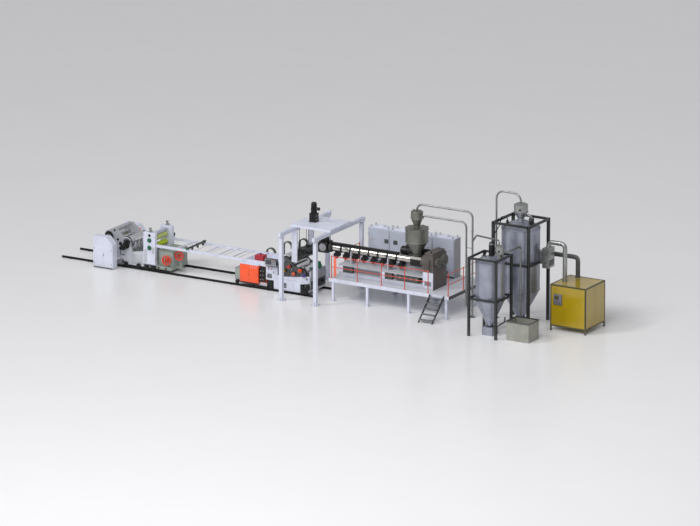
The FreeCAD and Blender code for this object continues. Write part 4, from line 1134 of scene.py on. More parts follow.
def basePanels():
    dark, white, metal = newShapes(3)
    y = base["front"]
    for x0, x1 in base["vents"]:
        block(dark, (x0, y + 0.010, base["step"] - 0.002), (x1, y + 0.20, base["under"] + 0.002), 0.004)
        louvres(dark, "-Y", y + 0.010, x0 + 0.05, x1 - 0.05, 1.38, 1.58, 6, 0.008)
    block(dark, (4.22, y + 0.04, base["step"] - 0.002), (5.40, y + 0.22, base["under"] - 0.03), 0.006)
    for x in (4.40, 4.70, 5.00, 5.30):
        onFace(metal, "-Y", y + 0.04, x - 0.05, x + 0.05, 1.44, 1.54, 0.012, 0.003)
    for x0, x1 in base["pads"]:
        block(white, (x0, y - 0.012, base["step"] + 0.004), (x1, y + 0.05, base["under"] - 0.004), 0.006)
    x0, x1, z0, z1 = base["plate"]
    block(white, (x0, y - 0.014, z0), (x1, y + 0.02, z1), 0.008)
    band = bmesh.new()
    for x0 in base["bands"]:
        onFace(band, "-Y", y, x0, x0 + 0.80, base["low"] + 0.03, base["step"] - 0.03, 0.006, 0.002)
        boltHeads(metal, [(x, y - 0.006, z) for x in (x0 + 0.03, x0 + 0.77) for z in (1.15, 1.27)],
                  "-Y", 0.009, 0.008)
    boltHeads(metal, [(x, y, 1.67) for x in [1.25 + 0.50 * i for i in range(9)]], "-Y", 0.011, 0.010)
    boltHeads(metal, [(x, y - 0.014, z) for x in (5.70, 6.18) for z in (1.20, 1.55, 1.89)], "-Y", 0.012,
              0.010)
    louvres(dark, "-Y", y - 0.014, 5.76, 6.12, 1.30, 1.52, 6)
    side = bmesh.new()
    block(side, (base["right"] - 0.004, -0.395, 1.104), (base["right"] + 0.012, 0.845, 1.948), 0.004)
    fixed("baseEndPlate", side, "brownGrey")
    fixed("basePanelsLow", band, "lilac")
    fixed("basePanelsDark", dark, "darkGrey")
    fixed("basePanelsLight", white, "white")
    fixed("baseBolts", metal, "pipeSteel")


gearbox = {"left": 5.670, "right": 6.210, "front": -0.400, "back": 0.850, "seam": 2.365, "top": 2.860,
           "hubs": ((-0.060, 0.230), (0.500, 0.280)), "hubX": 6.340, "hubZ": 2.390,
           "gauge": (5.870, 2.160), "pipeX": 6.050, "ribs": (5.755, 5.930, 6.105)}


def gearboxParts():
    metal, sage, dark = newShapes(3)
    left, right, front, back = [gearbox[key] for key in ("left", "right", "front", "back")]
    seam, top, hubX, hubZ = [gearbox[key] for key in ("seam", "top", "hubX", "hubZ")]
    case = bmesh.new()
    block(case, (left - 0.012, front - 0.026, seam - 0.028), (right + 0.022, back + 0.026, seam), 0.004)
    for x in gearbox["ribs"]:
        block(case, (x - 0.010, front - 0.018, 1.955), (x + 0.010, front + 0.01, seam - 0.026), 0.003)
    for y, r in gearbox["hubs"]:
        rod(case, (hubX - 0.002, y, hubZ), (hubX + 0.045, y, hubZ), 0.3 * r, sides=28, edge=0.006)
    fixed("gearboxSeam", case, "brownGrey")
    boltHeads(metal, [(x, front - 0.008, seam) for x in (5.72, 5.86, 6.02, 6.16)], "+Z", 0.015, 0.018)
    boltHeads(metal, [(right + 0.008, y, seam) for y in (-0.34, -0.1, 0.16, 0.42, 0.68)], "+Z",
              0.015, 0.018)
    boltHeads(metal, [(x, y, top) for x in (5.76, 5.94, 6.12) for y in (-0.30, 0.22, 0.75)], "+Z",
              0.014, 0.012)
    for y in (-0.25, 0.65):
        eyeBolt(metal, (5.94, y, top - 0.002), 0.055)
    for y, r in gearbox["hubs"]:
        collar(sage, (hubX, y, hubZ), 0.3 * r + 0.045, r - 0.004, -0.004, 0.016, "X", 40)
        boltHeads(metal, ringPlaces((hubX + 0.016, y, hubZ), "X", r - 0.035, 10), "+X", 0.011, 0.010)
    onFace(sage, "-Y", front - 0.002, 5.82, 5.92, 2.42, 2.62, 0.010, 0.003)
    x, z = gearbox["gauge"]
    rod(metal, (x, front, z), (x, front - 0.02, z), 0.040, sides=28, edge=0.004)
    rod(dark, (x, front - 0.019, z), (x, front - 0.024, z), 0.028, sides=24)
    rod(dark, (6.00, -0.2, top - 0.002), (6.00, -0.2, top + 0.07), 0.030, sides=18, edge=0.005)
    x, near, far = gearbox["pipeX"], front - 0.002, front - 0.07
    tube(dark, [(x, near, 2.05), (x, far, 2.05), (x, far, 2.55), (x, near, 2.55)], 0.016, 0.04, 10)
    boltHeads(metal, ringPlaces((5.450, 0, screw["z"]), "X", 0.242, 12), "-X", 0.014, 0.016)
    fixed("gearboxBolts", metal, "pipeSteel")
    fixed("gearboxCovers", sage, "sageDark")
    fixed("gearboxFittings", dark, "black")


motor = {"y": 0.500, "z": 2.560, "left": 4.050, "radius": 0.217, "fins": 30, "finFrom": 4.340,
         "finLong": 1.200, "box": (4.290, 4.610, 2.868, 2.885), "cable": (4.450, 2.800)}


def motorParts():
    dark, metal = newShapes(2)
    y, z, left = motor["y"], motor["z"], motor["left"]
    collar(dark, (left, y, z), 0.0, 0.205, -0.020, 0.002, "X", 40)
    for r in (0.05, 0.085, 0.12, 0.155):
        collar(dark, (left - 0.020, y, z), r, r + 0.010, -0.008, 0.002, "X", 32)
    collar(dark, (4.310, y, z), 0.190, 0.224, -0.015, 0.020, "X", 40)
    collar(dark, (5.550, y, z), 0.190, 0.222, 0.0, 0.050, "X", 40)
    for p in ringPlaces((motor["finFrom"], y, z), "X", motor["radius"], motor["fins"]):
        rod(dark, p, p + Vector((motor["finLong"], 0, 0)), 0.009, sides=6)
    x0, x1, z0, z1 = motor["box"]
    block(dark, (x0, y - 0.130, z0), (x1, y + 0.130, z1), 0.004)
    eyeBolt(metal, (5.00, y, 2.772), 0.07)
    boltHeads(metal, [(x, y + dy, z1) for x in (x0 + 0.03, x1 - 0.03) for dy in (-0.11, 0.11)], "+Z",
              0.010, 0.008)
    x, z = motor["cable"]
    rod(metal, (x, y + 0.119, z), (x, y + 0.16, z), 0.030, sides=18)
    tube(dark, [(x, y + 0.15, z), (x, y + 0.30, z), (x, y + 0.30, 1.112)], 0.022, 0.08, 10)
    fixed("motorParts", dark, "black")
    fixed("motorFittings", metal, "pipeSteel")


hopper = {"x": 5.110, "clamps": 10, "gate": 0.190, "gateZ": 2.610, "gateSlideZ": 2.590, "seam": 3.260,
          "loaderSeam": 4.390}


def hopperParts():
    metal, dark = newShapes(2)
    x, gate, gateZ, slideZ = [hopper[key] for key in ("x", "gate", "gateZ", "gateSlideZ")]
    for i in range(hopper["clamps"]):
        a = 2 * math.pi * i / hopper["clamps"] + 0.3
        c, s = math.cos(a), math.sin(a)
        rod(metal, (x + 0.545 * c, 0.545 * s, 3.83), (x + 0.575 * c, 0.575 * s, 3.93), 0.012, sides=8)
        rod(metal, (x + 0.555 * c, 0.555 * s, 3.905), (x + 0.590 * c, 0.590 * s, 3.905), 0.016, sides=10)
    collar(metal, (x, 0, hopper["seam"]), 0.539, 0.552, -0.020, 0.020, "Z", 48)
    block(dark, (x - gate, -gate, gateZ - 0.039), (x + gate, gate, gateZ), 0.004)
    rod(dark, (x - gate, -0.10, slideZ), (x - 0.34, -0.10, slideZ), 0.012, sides=10)
    rod(dark, (x - 0.34, -0.16, slideZ), (x - 0.34, -0.04, slideZ), 0.016, sides=12, edge=0.004)
    boltHeads(metal, ringPlaces((x, 0, gateZ), "Z", 0.165, 8), "+Z", 0.012, 0.012)
    collar(metal, (x, 0, hopper["loaderSeam"]), 0.289, 0.303, -0.018, 0.018, "Z", 40)
    for a in ringPlaces((x, 0, 4.385), "Z", 0.306, 3, 0.4):
        rod(metal, (a.x, a.y, 4.33), (a.x, a.y, 4.45), 0.014, sides=10)
    rod(metal, (x - 0.12, -0.10, 4.70), (x - 0.12, -0.10, 4.80), 0.045, sides=20, edge=0.006)
    fixed("hopperClamps", metal, "pipeSteel")
    fixed("hopperGate", dark, "darkGrey")


barrelParts()
basePanels()
gearboxParts()
motorParts()
hopperParts()
print("extruder")

# Platform, ladder and guard rails
deck = {"left": 0.880, "right": 7.360, "front": -0.930, "back": 2.620, "top": 1.100, "beam": 0.930,
        "columns": (1.090, 2.940, 5.170, 7.190), "rows": (-0.850, 1.740, 2.500),
        "treads": (2.503, 4.123, 5.743), "bolts": (0.965, 1.065), "postHigh": 1.098, "steps": 5,
        "stair": (6.386, 7.084), "panel": (1.130, 1.270)}
guard = {"front": -0.870, "frontPosts": (1.0, 2.4, 3.7, 4.96, 6.22), "right": 7.300,
         "rightPosts": (-0.870, 0.54, 1.90), "left": 0.920, "leftPosts": (0.50, 1.175, 1.85)}


def platformParts():
    tread = bmesh.new()
    top = deck["top"]
    joints = [deck["left"] + 0.007] + list(deck["treads"]) + [deck["right"] - 0.007]
    for x0, x1 in zip(joints, joints[1:]):
        block(tread, (x0 + 0.003, deck["front"] + 0.02, top - 0.001),
              (x1 - 0.003, deck["back"] - 0.02, top + 0.003))
    fixed("treadPlates", tread, "tread")
    white = bmesh.new()
    for x in deck["columns"]:
        for y in deck["rows"]:
            for s in (-1, 1):
                slab(white, [(x + s * 0.054, deck["beam"] - 0.10), (x + s * 0.054, deck["beam"] + 0.001),
                             (x + s * 0.135, deck["beam"] + 0.001)], "Y", y - 0.005, y + 0.005)
    fixed("legGussets", white, "white")
    # Dark grey sheet over the right end face of the deck: painted shade of that side
    edge = bmesh.new()
    onFace(edge, "+X", deck["right"], deck["front"] + 0.004, deck["back"] - 0.004, deck["beam"] + 0.004,
           top - 0.004, 0.006, 0.002)
    fixed("deckEndPaintedShade", edge, "darkGrey")
    metal = bmesh.new()
    for x in deck["columns"]:
        for y in deck["rows"]:
            boltHeads(metal, cornerPlaces(x, y, footPlate, 0.085), "+Z", 0.013, 0.016)
    boltHeads(metal, [(x, deck["front"], z) for x in [1.0 + 0.45 * i for i in range(14)]
                      for z in deck["bolts"]], "-Y", 0.010, 0.008)
    boltHeads(metal, [(deck["right"], y, z) for y in [-0.7 + 0.5 * i for i in range(7)]
                      for z in deck["bolts"]], "+X", 0.010, 0.008)
    fixed("platformBolts", metal, "pipeSteel")
    feet = bmesh.new()
    posts = [(x, guard["front"]) for x in guard["frontPosts"]]
    posts += [(guard["right"], y) for y in guard["rightPosts"]]
    posts += [(guard["left"], y) for y in guard["leftPosts"]]
    for x, y in posts:
        collar(feet, (x, y, top + 0.002), 0.0215, 0.055, 0.0, 0.012, "Z", 20)
        rod(feet, (x, y, top + deck["postHigh"] - 0.020), (x, y, top + deck["postHigh"]), 0.026, sides=18,
            edge=0.008)
    fixed("guardRailFeet", feet, "coral")
    steps = bmesh.new()
    x0, x1 = deck["stair"]
    for i in range(deck["steps"]):
        z = 1.060 * (i + 0.6) / deck["steps"]
        y = deck["front"] - 0.030 - 1.120 * (1 - z / top)
        block(steps, (x0, y - 0.062, z + 0.013), (x1, y - 0.032, z + 0.019), 0.002)
        block(steps, (x0, y + 0.03, z + 0.014), (x1, y + 0.05, z + 0.018), 0.002)
    fixed("stepNosings", steps, "paleGrey")
    strip = bmesh.new()
    x0, x1 = deck["panel"]
    y = guard["front"]
    block(strip, (x0, y - 0.015, top + 0.10), (x1, y - 0.009, top + 1.02), 0.002)
    rod(strip, (x0, y, top + 0.55), (x1, y, top + 0.55), 0.0185, sides=14)
    fixed("coralPanel", strip, "coral")


platformParts()
print("platform")

# Electric cabinets
cabinets = {"left": 1.370, "pitch": 1.1625, "front": 1.900, "leaf": 1.864, "depth": 0.600, "top": 3.000,
            "side": 0.025, "count": 4, "screens": {0: 2.375, 1: 2.860},
            "lampZ": 2.440, "lampPitch": 0.080}


def cabinetParts():
    metal, white = newShapes(2)
    for i in range(cabinets["count"]):
        x0 = cabinets["left"] + cabinets["pitch"] * i
        for x in (x0 + 0.12, x0 + cabinets["pitch"] - 0.12):
            for y in (1.98, 2.42):
                eyeBolt(metal, (x, y, cabinets["top"] - 0.002), 0.05)
        block(white, (x0 + 0.02, cabinets["front"] + 0.02, cabinets["top"] - 0.002),
              (x0 + cabinets["pitch"] - 0.02, 2.48, cabinets["top"] + 0.010), 0.004)
        fan = Vector((x0 + 0.58, 2.20, cabinets["top"] + 0.008))
        rod(white, fan, fan + Vector((0, 0, 0.082)), 0.14, sides=32, edge=0.012)
    fixed("cabinetEyes", metal, "pipeSteel")
    fixed("cabinetTops", white, "white")
    dark = bmesh.new()
    left = cabinets["left"]
    right = left + cabinets["pitch"] * cabinets["count"]
    onFace(dark, "-Y", cabinets["front"], left + 0.004, right - 0.004, 1.104, 1.190, 0.003)
    for z0, z1 in ((1.30, 1.62), (2.52, 2.84)):
        for i in range(cabinets["count"]):
            x0 = left + cabinets["pitch"] * i
            louvres(dark, "+Y", cabinets["front"] + cabinets["depth"], x0 + 0.3, x0 + 0.86, z0, z1, 8)
    fixed("cabinetVents", dark, "darkGrey")
    side = bmesh.new()
    onFace(side, "+X", right, 1.91, 2.49, 1.12, 2.985, 0.006, 0.002)
    fixed("cabinetEnd", side, "grey")


def doorParts(i):
    body = "cabinet_door_%d" % (i + 1)
    x0 = cabinets["left"] + cabinets["pitch"] * i + cabinets["side"]
    x1 = x0 + cabinets["pitch"] - 2 * cabinets["side"]
    y, lampZ = cabinets["leaf"], cabinets["lampZ"]
    dark = bmesh.new()
    louvres(dark, "-Y", y, x0 + 0.28, x1 - 0.28, 1.28, 1.46, 7, 0.008)
    middle = (x0 + x1) / 2
    if i in cabinets["screens"]:
        x = cabinets["screens"][i]
        block(dark, (x - 0.11, y - 0.012, 2.33), (x + 0.11, y + 0.002, 2.53), 0.004)
    finishPiece("doorVents%d" % (i + 1), dark, finishes["darkGrey"], body)
    metal = bmesh.new()
    rod(metal, (x1 - 0.078, y - 0.018, 2.07), (x1 - 0.078, y - 0.026, 2.07), 0.028, sides=20, edge=0.003)
    lampX = middle - 0.40 if i == 0 else middle + 0.24
    for j in range(3):
        x = lampX + cabinets["lampPitch"] * j
        rod(metal, (x, y + 0.001, lampZ), (x, y - 0.008, lampZ), 0.020, sides=18, edge=0.002)
    frameOn(metal, "-Y", y, x0 + 0.045, x1 - 0.02, 1.215, 2.925, 0.010, 0.003)
    finishPiece("doorFittings%d" % (i + 1), metal, finishes["paleGrey"], body)
    for j, tone in enumerate(("red", "yellow", "green")):
        lamp = bmesh.new()
        x = lampX + cabinets["lampPitch"] * j
        rod(lamp, (x, y - 0.006, lampZ), (x, y - 0.020, lampZ), 0.013, sides=16, edge=0.003)
        finishPiece("doorLamp%d%d" % (i + 1, j + 1), lamp, finishes[tone], body)


cabinetParts()
for i in range(cabinets["count"]):
    doorParts(i)
print("electric cabinets")

# Silos
small = {"x": 10.210, "y": -2.065, "radius": 0.680, "top": 3.480, "bottom": 1.650, "outlet": 0.390,
         "ring": 1.800, "post": 0.060, "half": 0.745, "postTop": 3.760, "mouth": 0.130,
         "clad": 0.026, "manhole": (9.950, -2.200), "motor": 0.060, "loader": (10.690, -2.065)}
large = {"x": 10.380, "y": 0.490, "radius": 0.895, "top": 4.540, "bottom": 1.570, "outlet": 0.230,
         "ring": 3.000, "post": 0.070, "half": 0.970, "postTop": 4.900, "mouth": 0.170,
         "clad": 0.030, "manhole": (9.930, 0.020), "motor": 0.560, "loader": (10.380, 0.490)}
gusset = {"reach": 0.140, "half": 0.005}


def siloParts(name, silo):
    x, y, r = silo["x"], silo["y"], silo["radius"]
    metal, dark = newShapes(2)
    for z in (silo["bottom"] + 0.02, silo["top"] - 0.03):
        collar(metal, (x, y, z), r - 0.001, r + 0.014, -0.012, 0.012, "Z", 56)
    steps = int((silo["top"] - silo["bottom"]) / 0.62)
    for i in range(1, steps):
        z = silo["bottom"] + (silo["top"] - silo["bottom"]) * i / steps
        collar(metal, (x, y, z), r - 0.001, r + 0.005, -0.010, 0.010, "Z", 56)
    for a in (-1.9, 0.2, 2.3):
        c, s = math.cos(a), math.sin(a)
        rod(metal, (x + (r + 0.001) * c, y + (r + 0.001) * s, silo["bottom"] + 0.03),
            (x + (r + 0.001) * c, y + (r + 0.001) * s, silo["top"] - 0.04), 0.007, sides=6)
    for share in (0.35, 0.70):
        z = silo["outlet"] + (silo["bottom"] - silo["outlet"]) * share
        here = silo["mouth"] + (r - silo["mouth"]) * share
        collar(metal, (x, y, z), here - 0.004, here + 0.008, -0.010, 0.010, "Z", 48)
    fixed(name + "Seams", metal, "siloSteel")
    collar(dark, (x, y, silo["outlet"]), silo["mouth"] - 0.002, silo["mouth"] + 0.034, 0.0, 0.030, "Z", 36)
    gateX = x + silo["mouth"] - 0.010
    block(dark, (gateX, y - 0.07, silo["outlet"] + 0.002),
          (gateX + 0.16, y + 0.07, silo["outlet"] + 0.030), 0.003)
    rod(dark, (gateX + 0.15, y, silo["outlet"] + 0.016), (gateX + 0.26, y, silo["outlet"] + 0.016),
        0.010, sides=10)
    out = silo["half"] - silo["post"] / 2
    half = silo["post"] / 2
    wide = half + silo["clad"]
    for dx in (-out, out):
        for dy in (-out, out):
            block(dark, (x + dx - wide, y + dy - wide, 0.014),
                  (x + dx + wide, y + dy + wide, silo["postTop"] + 0.004), 0.006)
        for z in (silo["ring"] - half - silo["clad"], silo["postTop"] - silo["post"] - silo["clad"]):
            deep = silo["post"] + silo["clad"] * 1.1
            a0, a1 = sorted((dx - math.copysign(half + 0.002, dx), dx + math.copysign(wide, dx)))
            block(dark, (x + a0, y - out, z), (x + a1, y + out, z + deep), 0.004)
            block(dark, (x - out, y + a0, z), (x + out, y + a1, z + deep), 0.004)
    for dx in (-out, out):
        for dy in (-out, out):
            for z in (silo["ring"] - half, silo["postTop"] - silo["post"]):
                for across, along, sign, axis in ((x + dx, y + dy, -math.copysign(1, dx), "Y"),
                                                  (y + dy, x + dx, -math.copysign(1, dy), "X")):
                    near = across + sign * half
                    slab(dark, [(near, z + 0.001), (near, z - gusset["reach"]),
                                (near + sign * gusset["reach"], z + 0.001)], axis,
                         along - gusset["half"], along + gusset["half"])
            boltHeads(dark, cornerPlaces(x + dx, y + dy, 0.014, 0.045), "+Z", 0.010, 0.016)
    fixed(name + "Fittings", dark, "frame")


def loaderParts():
    metal, dark = newShapes(2)
    for silo, z, r, h in ((small, 3.540, 0.190, 0.760), (large, 4.870, 0.330, 0.830)):
        x, y = silo["loader"]
        ring = z + 0.5 * h
        collar(metal, (x, y, ring), r - 0.004, r + 0.014, -0.014, 0.014, "Z", 44)
        for a in ringPlaces((x, y, ring + 0.012), "Z", r + 0.018, 3, 0.2):
            rod(metal, (a.x, a.y, ring - 0.03), (a.x, a.y, ring + 0.06), 0.011, sides=10)
        collar(metal, (x, y, z + 0.80 * h), r - 0.001, r + 0.006, -0.010, 0.010, "Z", 40)
        c, s = math.cos(-1.2), math.sin(-1.2)
        window = z + 0.68 * h
        rod(dark, (x + (r - 0.01) * c, y + (r - 0.01) * s, window),
            (x + (r + 0.012) * c, y + (r + 0.012) * s, window), 0.050, sides=24, edge=0.003)
        rod(metal, (x - 0.05, y - 0.03, z + h - 0.002), (x - 0.05, y - 0.03, z + h + 0.05), 0.030,
            sides=18, edge=0.004)
    x, y = small["x"] + small["motor"], small["y"]
    collar(dark, (x, y, 3.740), 0.109, 0.118, 0.02, 0.56, "Z", 32)
    for i in range(8):
        collar(dark, (x, y, 3.79 + 0.055 * i), 0.117, 0.126, 0.0, 0.018, "Z", 28)
    rod(dark, (x, y, 4.358), (x, y, 4.42), 0.118, 0.080, 28, 0.008)
    hatchX, hatchY = small["manhole"]
    rod(metal, (hatchX, hatchY, 3.60), (hatchX, hatchY, 3.765), 0.110, sides=32, edge=0.006)
    rod(dark, (hatchX, hatchY, 3.76), (hatchX, hatchY, 3.88), 0.045, sides=20, edge=0.012)
    x, y = large["x"] + large["motor"], large["y"]
    collar(dark, (x, y, 4.640), 0.109, 0.120, 0.08, 0.30, "Z", 32)
    collar(dark, (x, y, 4.640), 0.109, 0.125, 0.34, 0.40, "Z", 32)
    tube(metal, [(x, y, 5.058), (x, y, 5.14), (x - 0.20, y, 5.14), (x - 0.235, y, 5.14)], 0.035, 0.05,
         12)
    hatchX, hatchY = large["manhole"]
    rod(metal, (hatchX, hatchY, 4.60), (hatchX, hatchY, 4.775), 0.150, sides=36, edge=0.006)
    rod(dark, (hatchX, hatchY, 4.77), (hatchX, hatchY, 4.92), 0.060, sides=24, edge=0.008)
    fixed("loaderClamps", metal, "pipeSteel")
    fixed("loaderMotors", dark, "black")


siloParts("smallSilo", small)
siloParts("largeSilo", large)
loaderParts()
print("silos")

# Conveying pipes and hoses
pipes = {"line": (8.090, 0.0), "return": 7.760, "arch": (9.080, 0.490), "radius": 0.045, "top": 5.050,
         "second": 4.520, "drop": (10.960, -0.550),
         "branch": [(8.090, 0.0, 3.650), (8.500, -0.326, 4.080), (10.690, -2.065, 4.540),
                    (10.690, -2.065, 4.300)],
         "transfer": [(10.690, -2.065, 3.960), (10.960, -1.665, 3.960), (10.960, -0.550, 3.960),
                      (10.960, -0.550, 0.115), (10.380, 0.490, 0.115)]}


def pipeClamp(shape, x, y, z, axis="Z"):
    collar(shape, (x, y, z), 0.0445, 0.056, 0.0, 0.05, axis, 24)


def pipeParts():
    metal = bmesh.new()
    x, y = pipes["line"]
    runs = bmesh.new()
    tube(runs, pipes["branch"], 0.040, 0.150, 16)
    tube(runs, pipes["transfer"], pipes["radius"], 0.200, 16)
    fixed("branchPipes", runs, "pipeSteel")
    for z in (0.90, 2.10, 4.10):
        pipeClamp(metal, x, y, z)
    for z in (0.90, 2.90):
        pipeClamp(metal, pipes["return"], y, z)
        pipeClamp(metal, pipes["arch"][0], pipes["arch"][1], z - 0.3)
    for px in (5.90, 6.80):
        for z in (pipes["top"], pipes["second"]):
            pipeClamp(metal, px, 0.0, z, "X")
    for z in (0.80, 1.60, 2.40, 3.20):
        pipeClamp(metal, pipes["drop"][0], pipes["drop"][1], z)
    for z in (1.50, 3.30):
        block(metal, (x - 0.285, -0.012, z), (x - 0.040, 0.012, z + 0.03), 0.003)
    for px, py in (pipes["line"], pipes["arch"]):
        boltHeads(metal, cornerPlaces(px, py, footPlate, 0.09), "+Z", 0.012, 0.014)
        block(metal, (px - 0.10, py - 0.006, 0.019), (px + 0.10, py + 0.006, 0.11))
    fixed("pipeClamps", metal, "pipeSteel")
    hose = bmesh.new()
    tube(hose, [(9.93, 0.02, 4.90), (9.93, 0.02, 5.06), (9.62, 0.02, 5.06), (9.50, 0.02, 4.60),
                (9.472, -0.40, 4.30), (9.472, -0.40, 3.10)], 0.024, 0.10, 10)
    tube(hose, [(10.06, -0.40, 0.40), (10.06, -0.40, 0.16), (10.06, -1.30, 0.10), (10.06, -1.78, 0.10)],
         0.030, 0.10, 10)
    fixed("airHoses", hose, "black")


pipeParts()
print("pipes")

# Heater box, air ducts and dryer
dryer = {"left": 12.230, "right": 14.100, "front": 0.0, "back": 1.860, "inset": 0.008,
         "panel": (12.43, 12.85, 1.26, 1.76), "seamX": 12.950, "seamY": 0.930}


ducts = {"supply": (12.580, 0.750), "supplyZ": 3.960, "return": (12.780, 1.625), "returnZ": 3.160,
         "foot": 2.190, "heaterRight": 11.860}


def ductParts():
    metal, dark = newShapes(2)
    supplyX, supplyY = ducts["supply"]
    returnX, returnY = ducts["return"]
    supplyZ, returnZ, foot = ducts["supplyZ"], ducts["returnZ"], ducts["foot"]
    for z in (2.50, 2.80, 3.10, 3.40, 3.62):
        collar(metal, (supplyX, supplyY, z), 0.104, 0.113, 0.0, 0.022, "Z", 32)
    for x in (11.98, 12.20):
        collar(metal, (x, supplyY, supplyZ), 0.104, 0.113, 0.0, 0.022, "X", 32)
    for z in (2.45, 2.65, 2.85):
        collar(dark, (returnX, returnY, z), 0.104, 0.113, 0.0, 0.022, "Z", 32)
    for x in (11.20, 11.60, 12.00, 12.40):
        collar(dark, (x, returnY, returnZ), 0.104, 0.113, 0.0, 0.022, "X", 32)
    for x, y in (ducts["supply"], ducts["return"]):
        collar(metal, (x, y, foot), 0.103, 0.128, 0.0, 0.033, "Z", 36)
    onFace(dark, "-Y", 0.450, 11.555, 11.690, 2.80, 3.66, 0.006, 0.003)
    louvres(dark, "+X", ducts["heaterRight"], 0.52, 0.98, 2.86, 3.14, 7)
    onFace(metal, "+X", ducts["heaterRight"], 0.50, 1.00, 3.24, 3.60, 0.010, 0.003)
    boltHeads(dark, [(ducts["heaterRight"] + 0.010, y, z) for y in (0.53, 0.97) for z in (3.27, 3.57)],
              "+X", 0.011, 0.010)
    tube(dark, [(11.30, returnY, returnZ), (returnX, returnY, returnZ), (returnX, returnY, foot + 0.020)],
         0.1068, 0.170, 28)
    for x, y in (ducts["supply"], ducts["return"]):
        boltHeads(dark, ringPlaces((x, y, foot + 0.032), "Z", 0.116, 8), "+Z", 0.007, 0.008)
    fixed("ductRings", metal, "ductSteel")
    fixed("ductDarkRings", dark, "darkGrey")


def dryerParts():
    dark, metal, panel = newShapes(3)
    front = dryer["front"] + dryer["inset"]
    right = dryer["right"] - dryer["inset"]
    for face, at, seam in (("-Y", front, dryer["seamX"]), ("+X", right, dryer["seamY"])):
        onFace(dark, face, at, seam - 0.002, seam + 0.002, 0.275, 2.135, 0.002)
    for x0 in (12.55, 13.30):
        louvres(dark, "+Y", dryer["back"] - dryer["inset"], x0, x0 + 0.45, 0.34, 0.60, 7)
    x0, x1, z0, z1 = dryer["panel"]
    block(panel, (x0, front - 0.060, z0), (x1, front + 0.002, z1), 0.008)
    frameOn(metal, "-Y", front - 0.060, x0 + 0.02, x1 - 0.02, z0 + 0.02, z1 - 0.02, 0.008, 0.003)
    onFace(dark, "-Y", front - 0.060, x0 + 0.05, x1 - 0.14, z0 + 0.26, z1 - 0.06, 0.006, 0.003)
    for i in range(4):
        for j in range(2):
            x, z = x0 + 0.07 + 0.085 * i, z0 + 0.07 + 0.09 * j
            rod(dark, (x, front - 0.059, z), (x, front - 0.080, z), 0.018, sides=16, edge=0.003)
    for x in (dryer["left"] + 0.03, dryer["right"] - 0.03):
        for y in (dryer["front"] + 0.03, dryer["back"] - 0.03):
            block(dark, (x - 0.055, y - 0.055, 0.0), (x + 0.055, y + 0.055, 0.014), 0.002)
    onFace(metal, "+X", dryer["right"], 0.06, 1.80, 2.150, 2.158, 0.003)
    fixed("dryerSeams", dark, "olive")
    fixed("dryerFittings", metal, "pipeSteel")
    fixed("dryerPanel", panel, "violetGrey")


openBin = {"left": 11.330, "right": 12.510, "front": -2.520, "back": -1.560, "top": 0.910, "out": 0.027,
           "inset": 0.008}


def binParts():
    dark = bmesh.new()
    left, right, front, back, top = [openBin[key] for key in ("left", "right", "front", "back", "top")]
    onFace(dark, "-Y", front, left + 0.01, right - 0.01, 0.004, 0.030, 0.004)
    onFace(dark, "+X", right, front + 0.01, back - 0.01, 0.004, 0.030, 0.004)
    fixed("binSkirt", dark, "binSteel")
    rim = bmesh.new()
    out, inset = openBin["out"], openBin["inset"]
    for x0, x1, y0, y1 in ((left - out, right + out, front - out, front + inset),
                           (left - out, right + out, back - inset, back + out),
                           (left - out, left + inset, front + inset, back - inset),
                           (right - inset, right + out, front + inset, back - inset)):
        block(rim, (x0, y0, top - 0.045), (x1, y1, top + 0.006), 0.004)
    fixed("binRim", rim, "darkGrey")


ductParts()
dryerParts()
binParts()
print("dryer and bin")

# Camera, floor and light
camera = {"aim": (0.910, 0.980, 1.376), "azimuth": 30.65, "elevation": 15.41, "distance": 375.6,
          "lens": 411.43, "sensor": 36.0, "farthest": 1500.0}


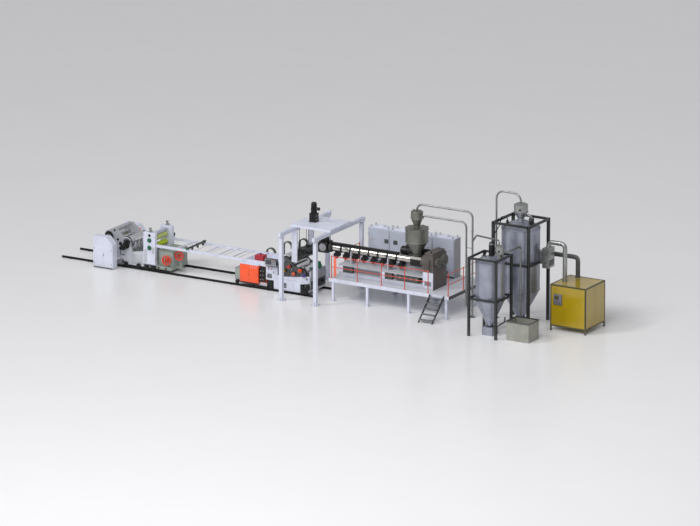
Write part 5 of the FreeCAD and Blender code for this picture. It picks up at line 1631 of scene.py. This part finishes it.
def placeCamera():
    turn, rise = math.radians(camera["azimuth"]), math.radians(camera["elevation"])
    back = Vector((math.sin(turn) * math.cos(rise), -math.cos(turn) * math.cos(rise), math.sin(rise)))
    data = bpy.data.cameras.new("camera")
    data.lens = camera["lens"]
    data.sensor_width = camera["sensor"]
    data.clip_start = 1.0
    data.clip_end = camera["farthest"]
    eye = bpy.data.objects.new("camera", data)
    bpy.context.scene.collection.objects.link(eye)
    eye.location = Vector(camera["aim"]) + lineOrigin + back * camera["distance"]
    eye.rotation_mode = "QUATERNION"
    eye.rotation_quaternion = (-back).to_track_quat("-Z", "Y")
    bpy.context.scene.camera = eye


studio = {"floorSize": 900.0, "floor": shade(236, 236, 237), "world": shade(240, 240, 243),
          "worldStrength": 0.475, "sunStrength": 0.9, "sunAngle": 16.0,
          "sunFrom": (-0.55, -0.62, 0.75), "washStrength": 21500.0, "washSize": 40.0,
          "washPlace": (14.0, -46.0, 46.0)}


def setStudio():
    shape = bmesh.new()
    bmesh.ops.create_grid(shape, x_segments=4, y_segments=4, size=studio["floorSize"] / 2)
    mesh = bpy.data.meshes.new("floor")
    shape.to_mesh(mesh)
    shape.free()
    material, tree, shader, place = startMaterial("studioFloor")
    shader.inputs["Base Color"].default_value = studio["floor"]
    shader.inputs["Specular IOR Level"].default_value = 0.3
    tree.links.new(between(tree, noiseOn(tree, place, 0.4), 0.2, 0.26), shader.inputs["Roughness"])
    mesh.materials.append(material)
    floor = bpy.data.objects.new("floor", mesh)
    floor.location = (0, 0, -0.002)
    bpy.context.scene.collection.objects.link(floor)
    world = bpy.data.worlds.new("studio")
    world.use_nodes = True
    sky = world.node_tree.nodes["Background"]
    sky.inputs["Color"].default_value = studio["world"]
    sky.inputs["Strength"].default_value = studio["worldStrength"]
    bpy.context.scene.world = world
    sun = bpy.data.lights.new("sun", "SUN")
    sun.energy = studio["sunStrength"]
    sun.angle = math.radians(studio["sunAngle"])
    lamp = bpy.data.objects.new("sun", sun)
    lamp.rotation_mode = "QUATERNION"
    lamp.rotation_quaternion = Vector(studio["sunFrom"]).to_track_quat("Z", "Y")
    bpy.context.scene.collection.objects.link(lamp)
    wash = bpy.data.lights.new("wash", "AREA")
    wash.energy = studio["washStrength"]
    wash.size = studio["washSize"]
    panel = bpy.data.objects.new("wash", wash)
    panel.location = studio["washPlace"]
    panel.rotation_mode = "QUATERNION"
    panel.rotation_quaternion = Vector(studio["washPlace"]).to_track_quat("Z", "Y")
    bpy.context.scene.collection.objects.link(panel)
    bpy.context.scene.view_settings.view_transform = "Standard"


placeCamera()
setStudio()
print("camera and studio set")

print("sizes written")
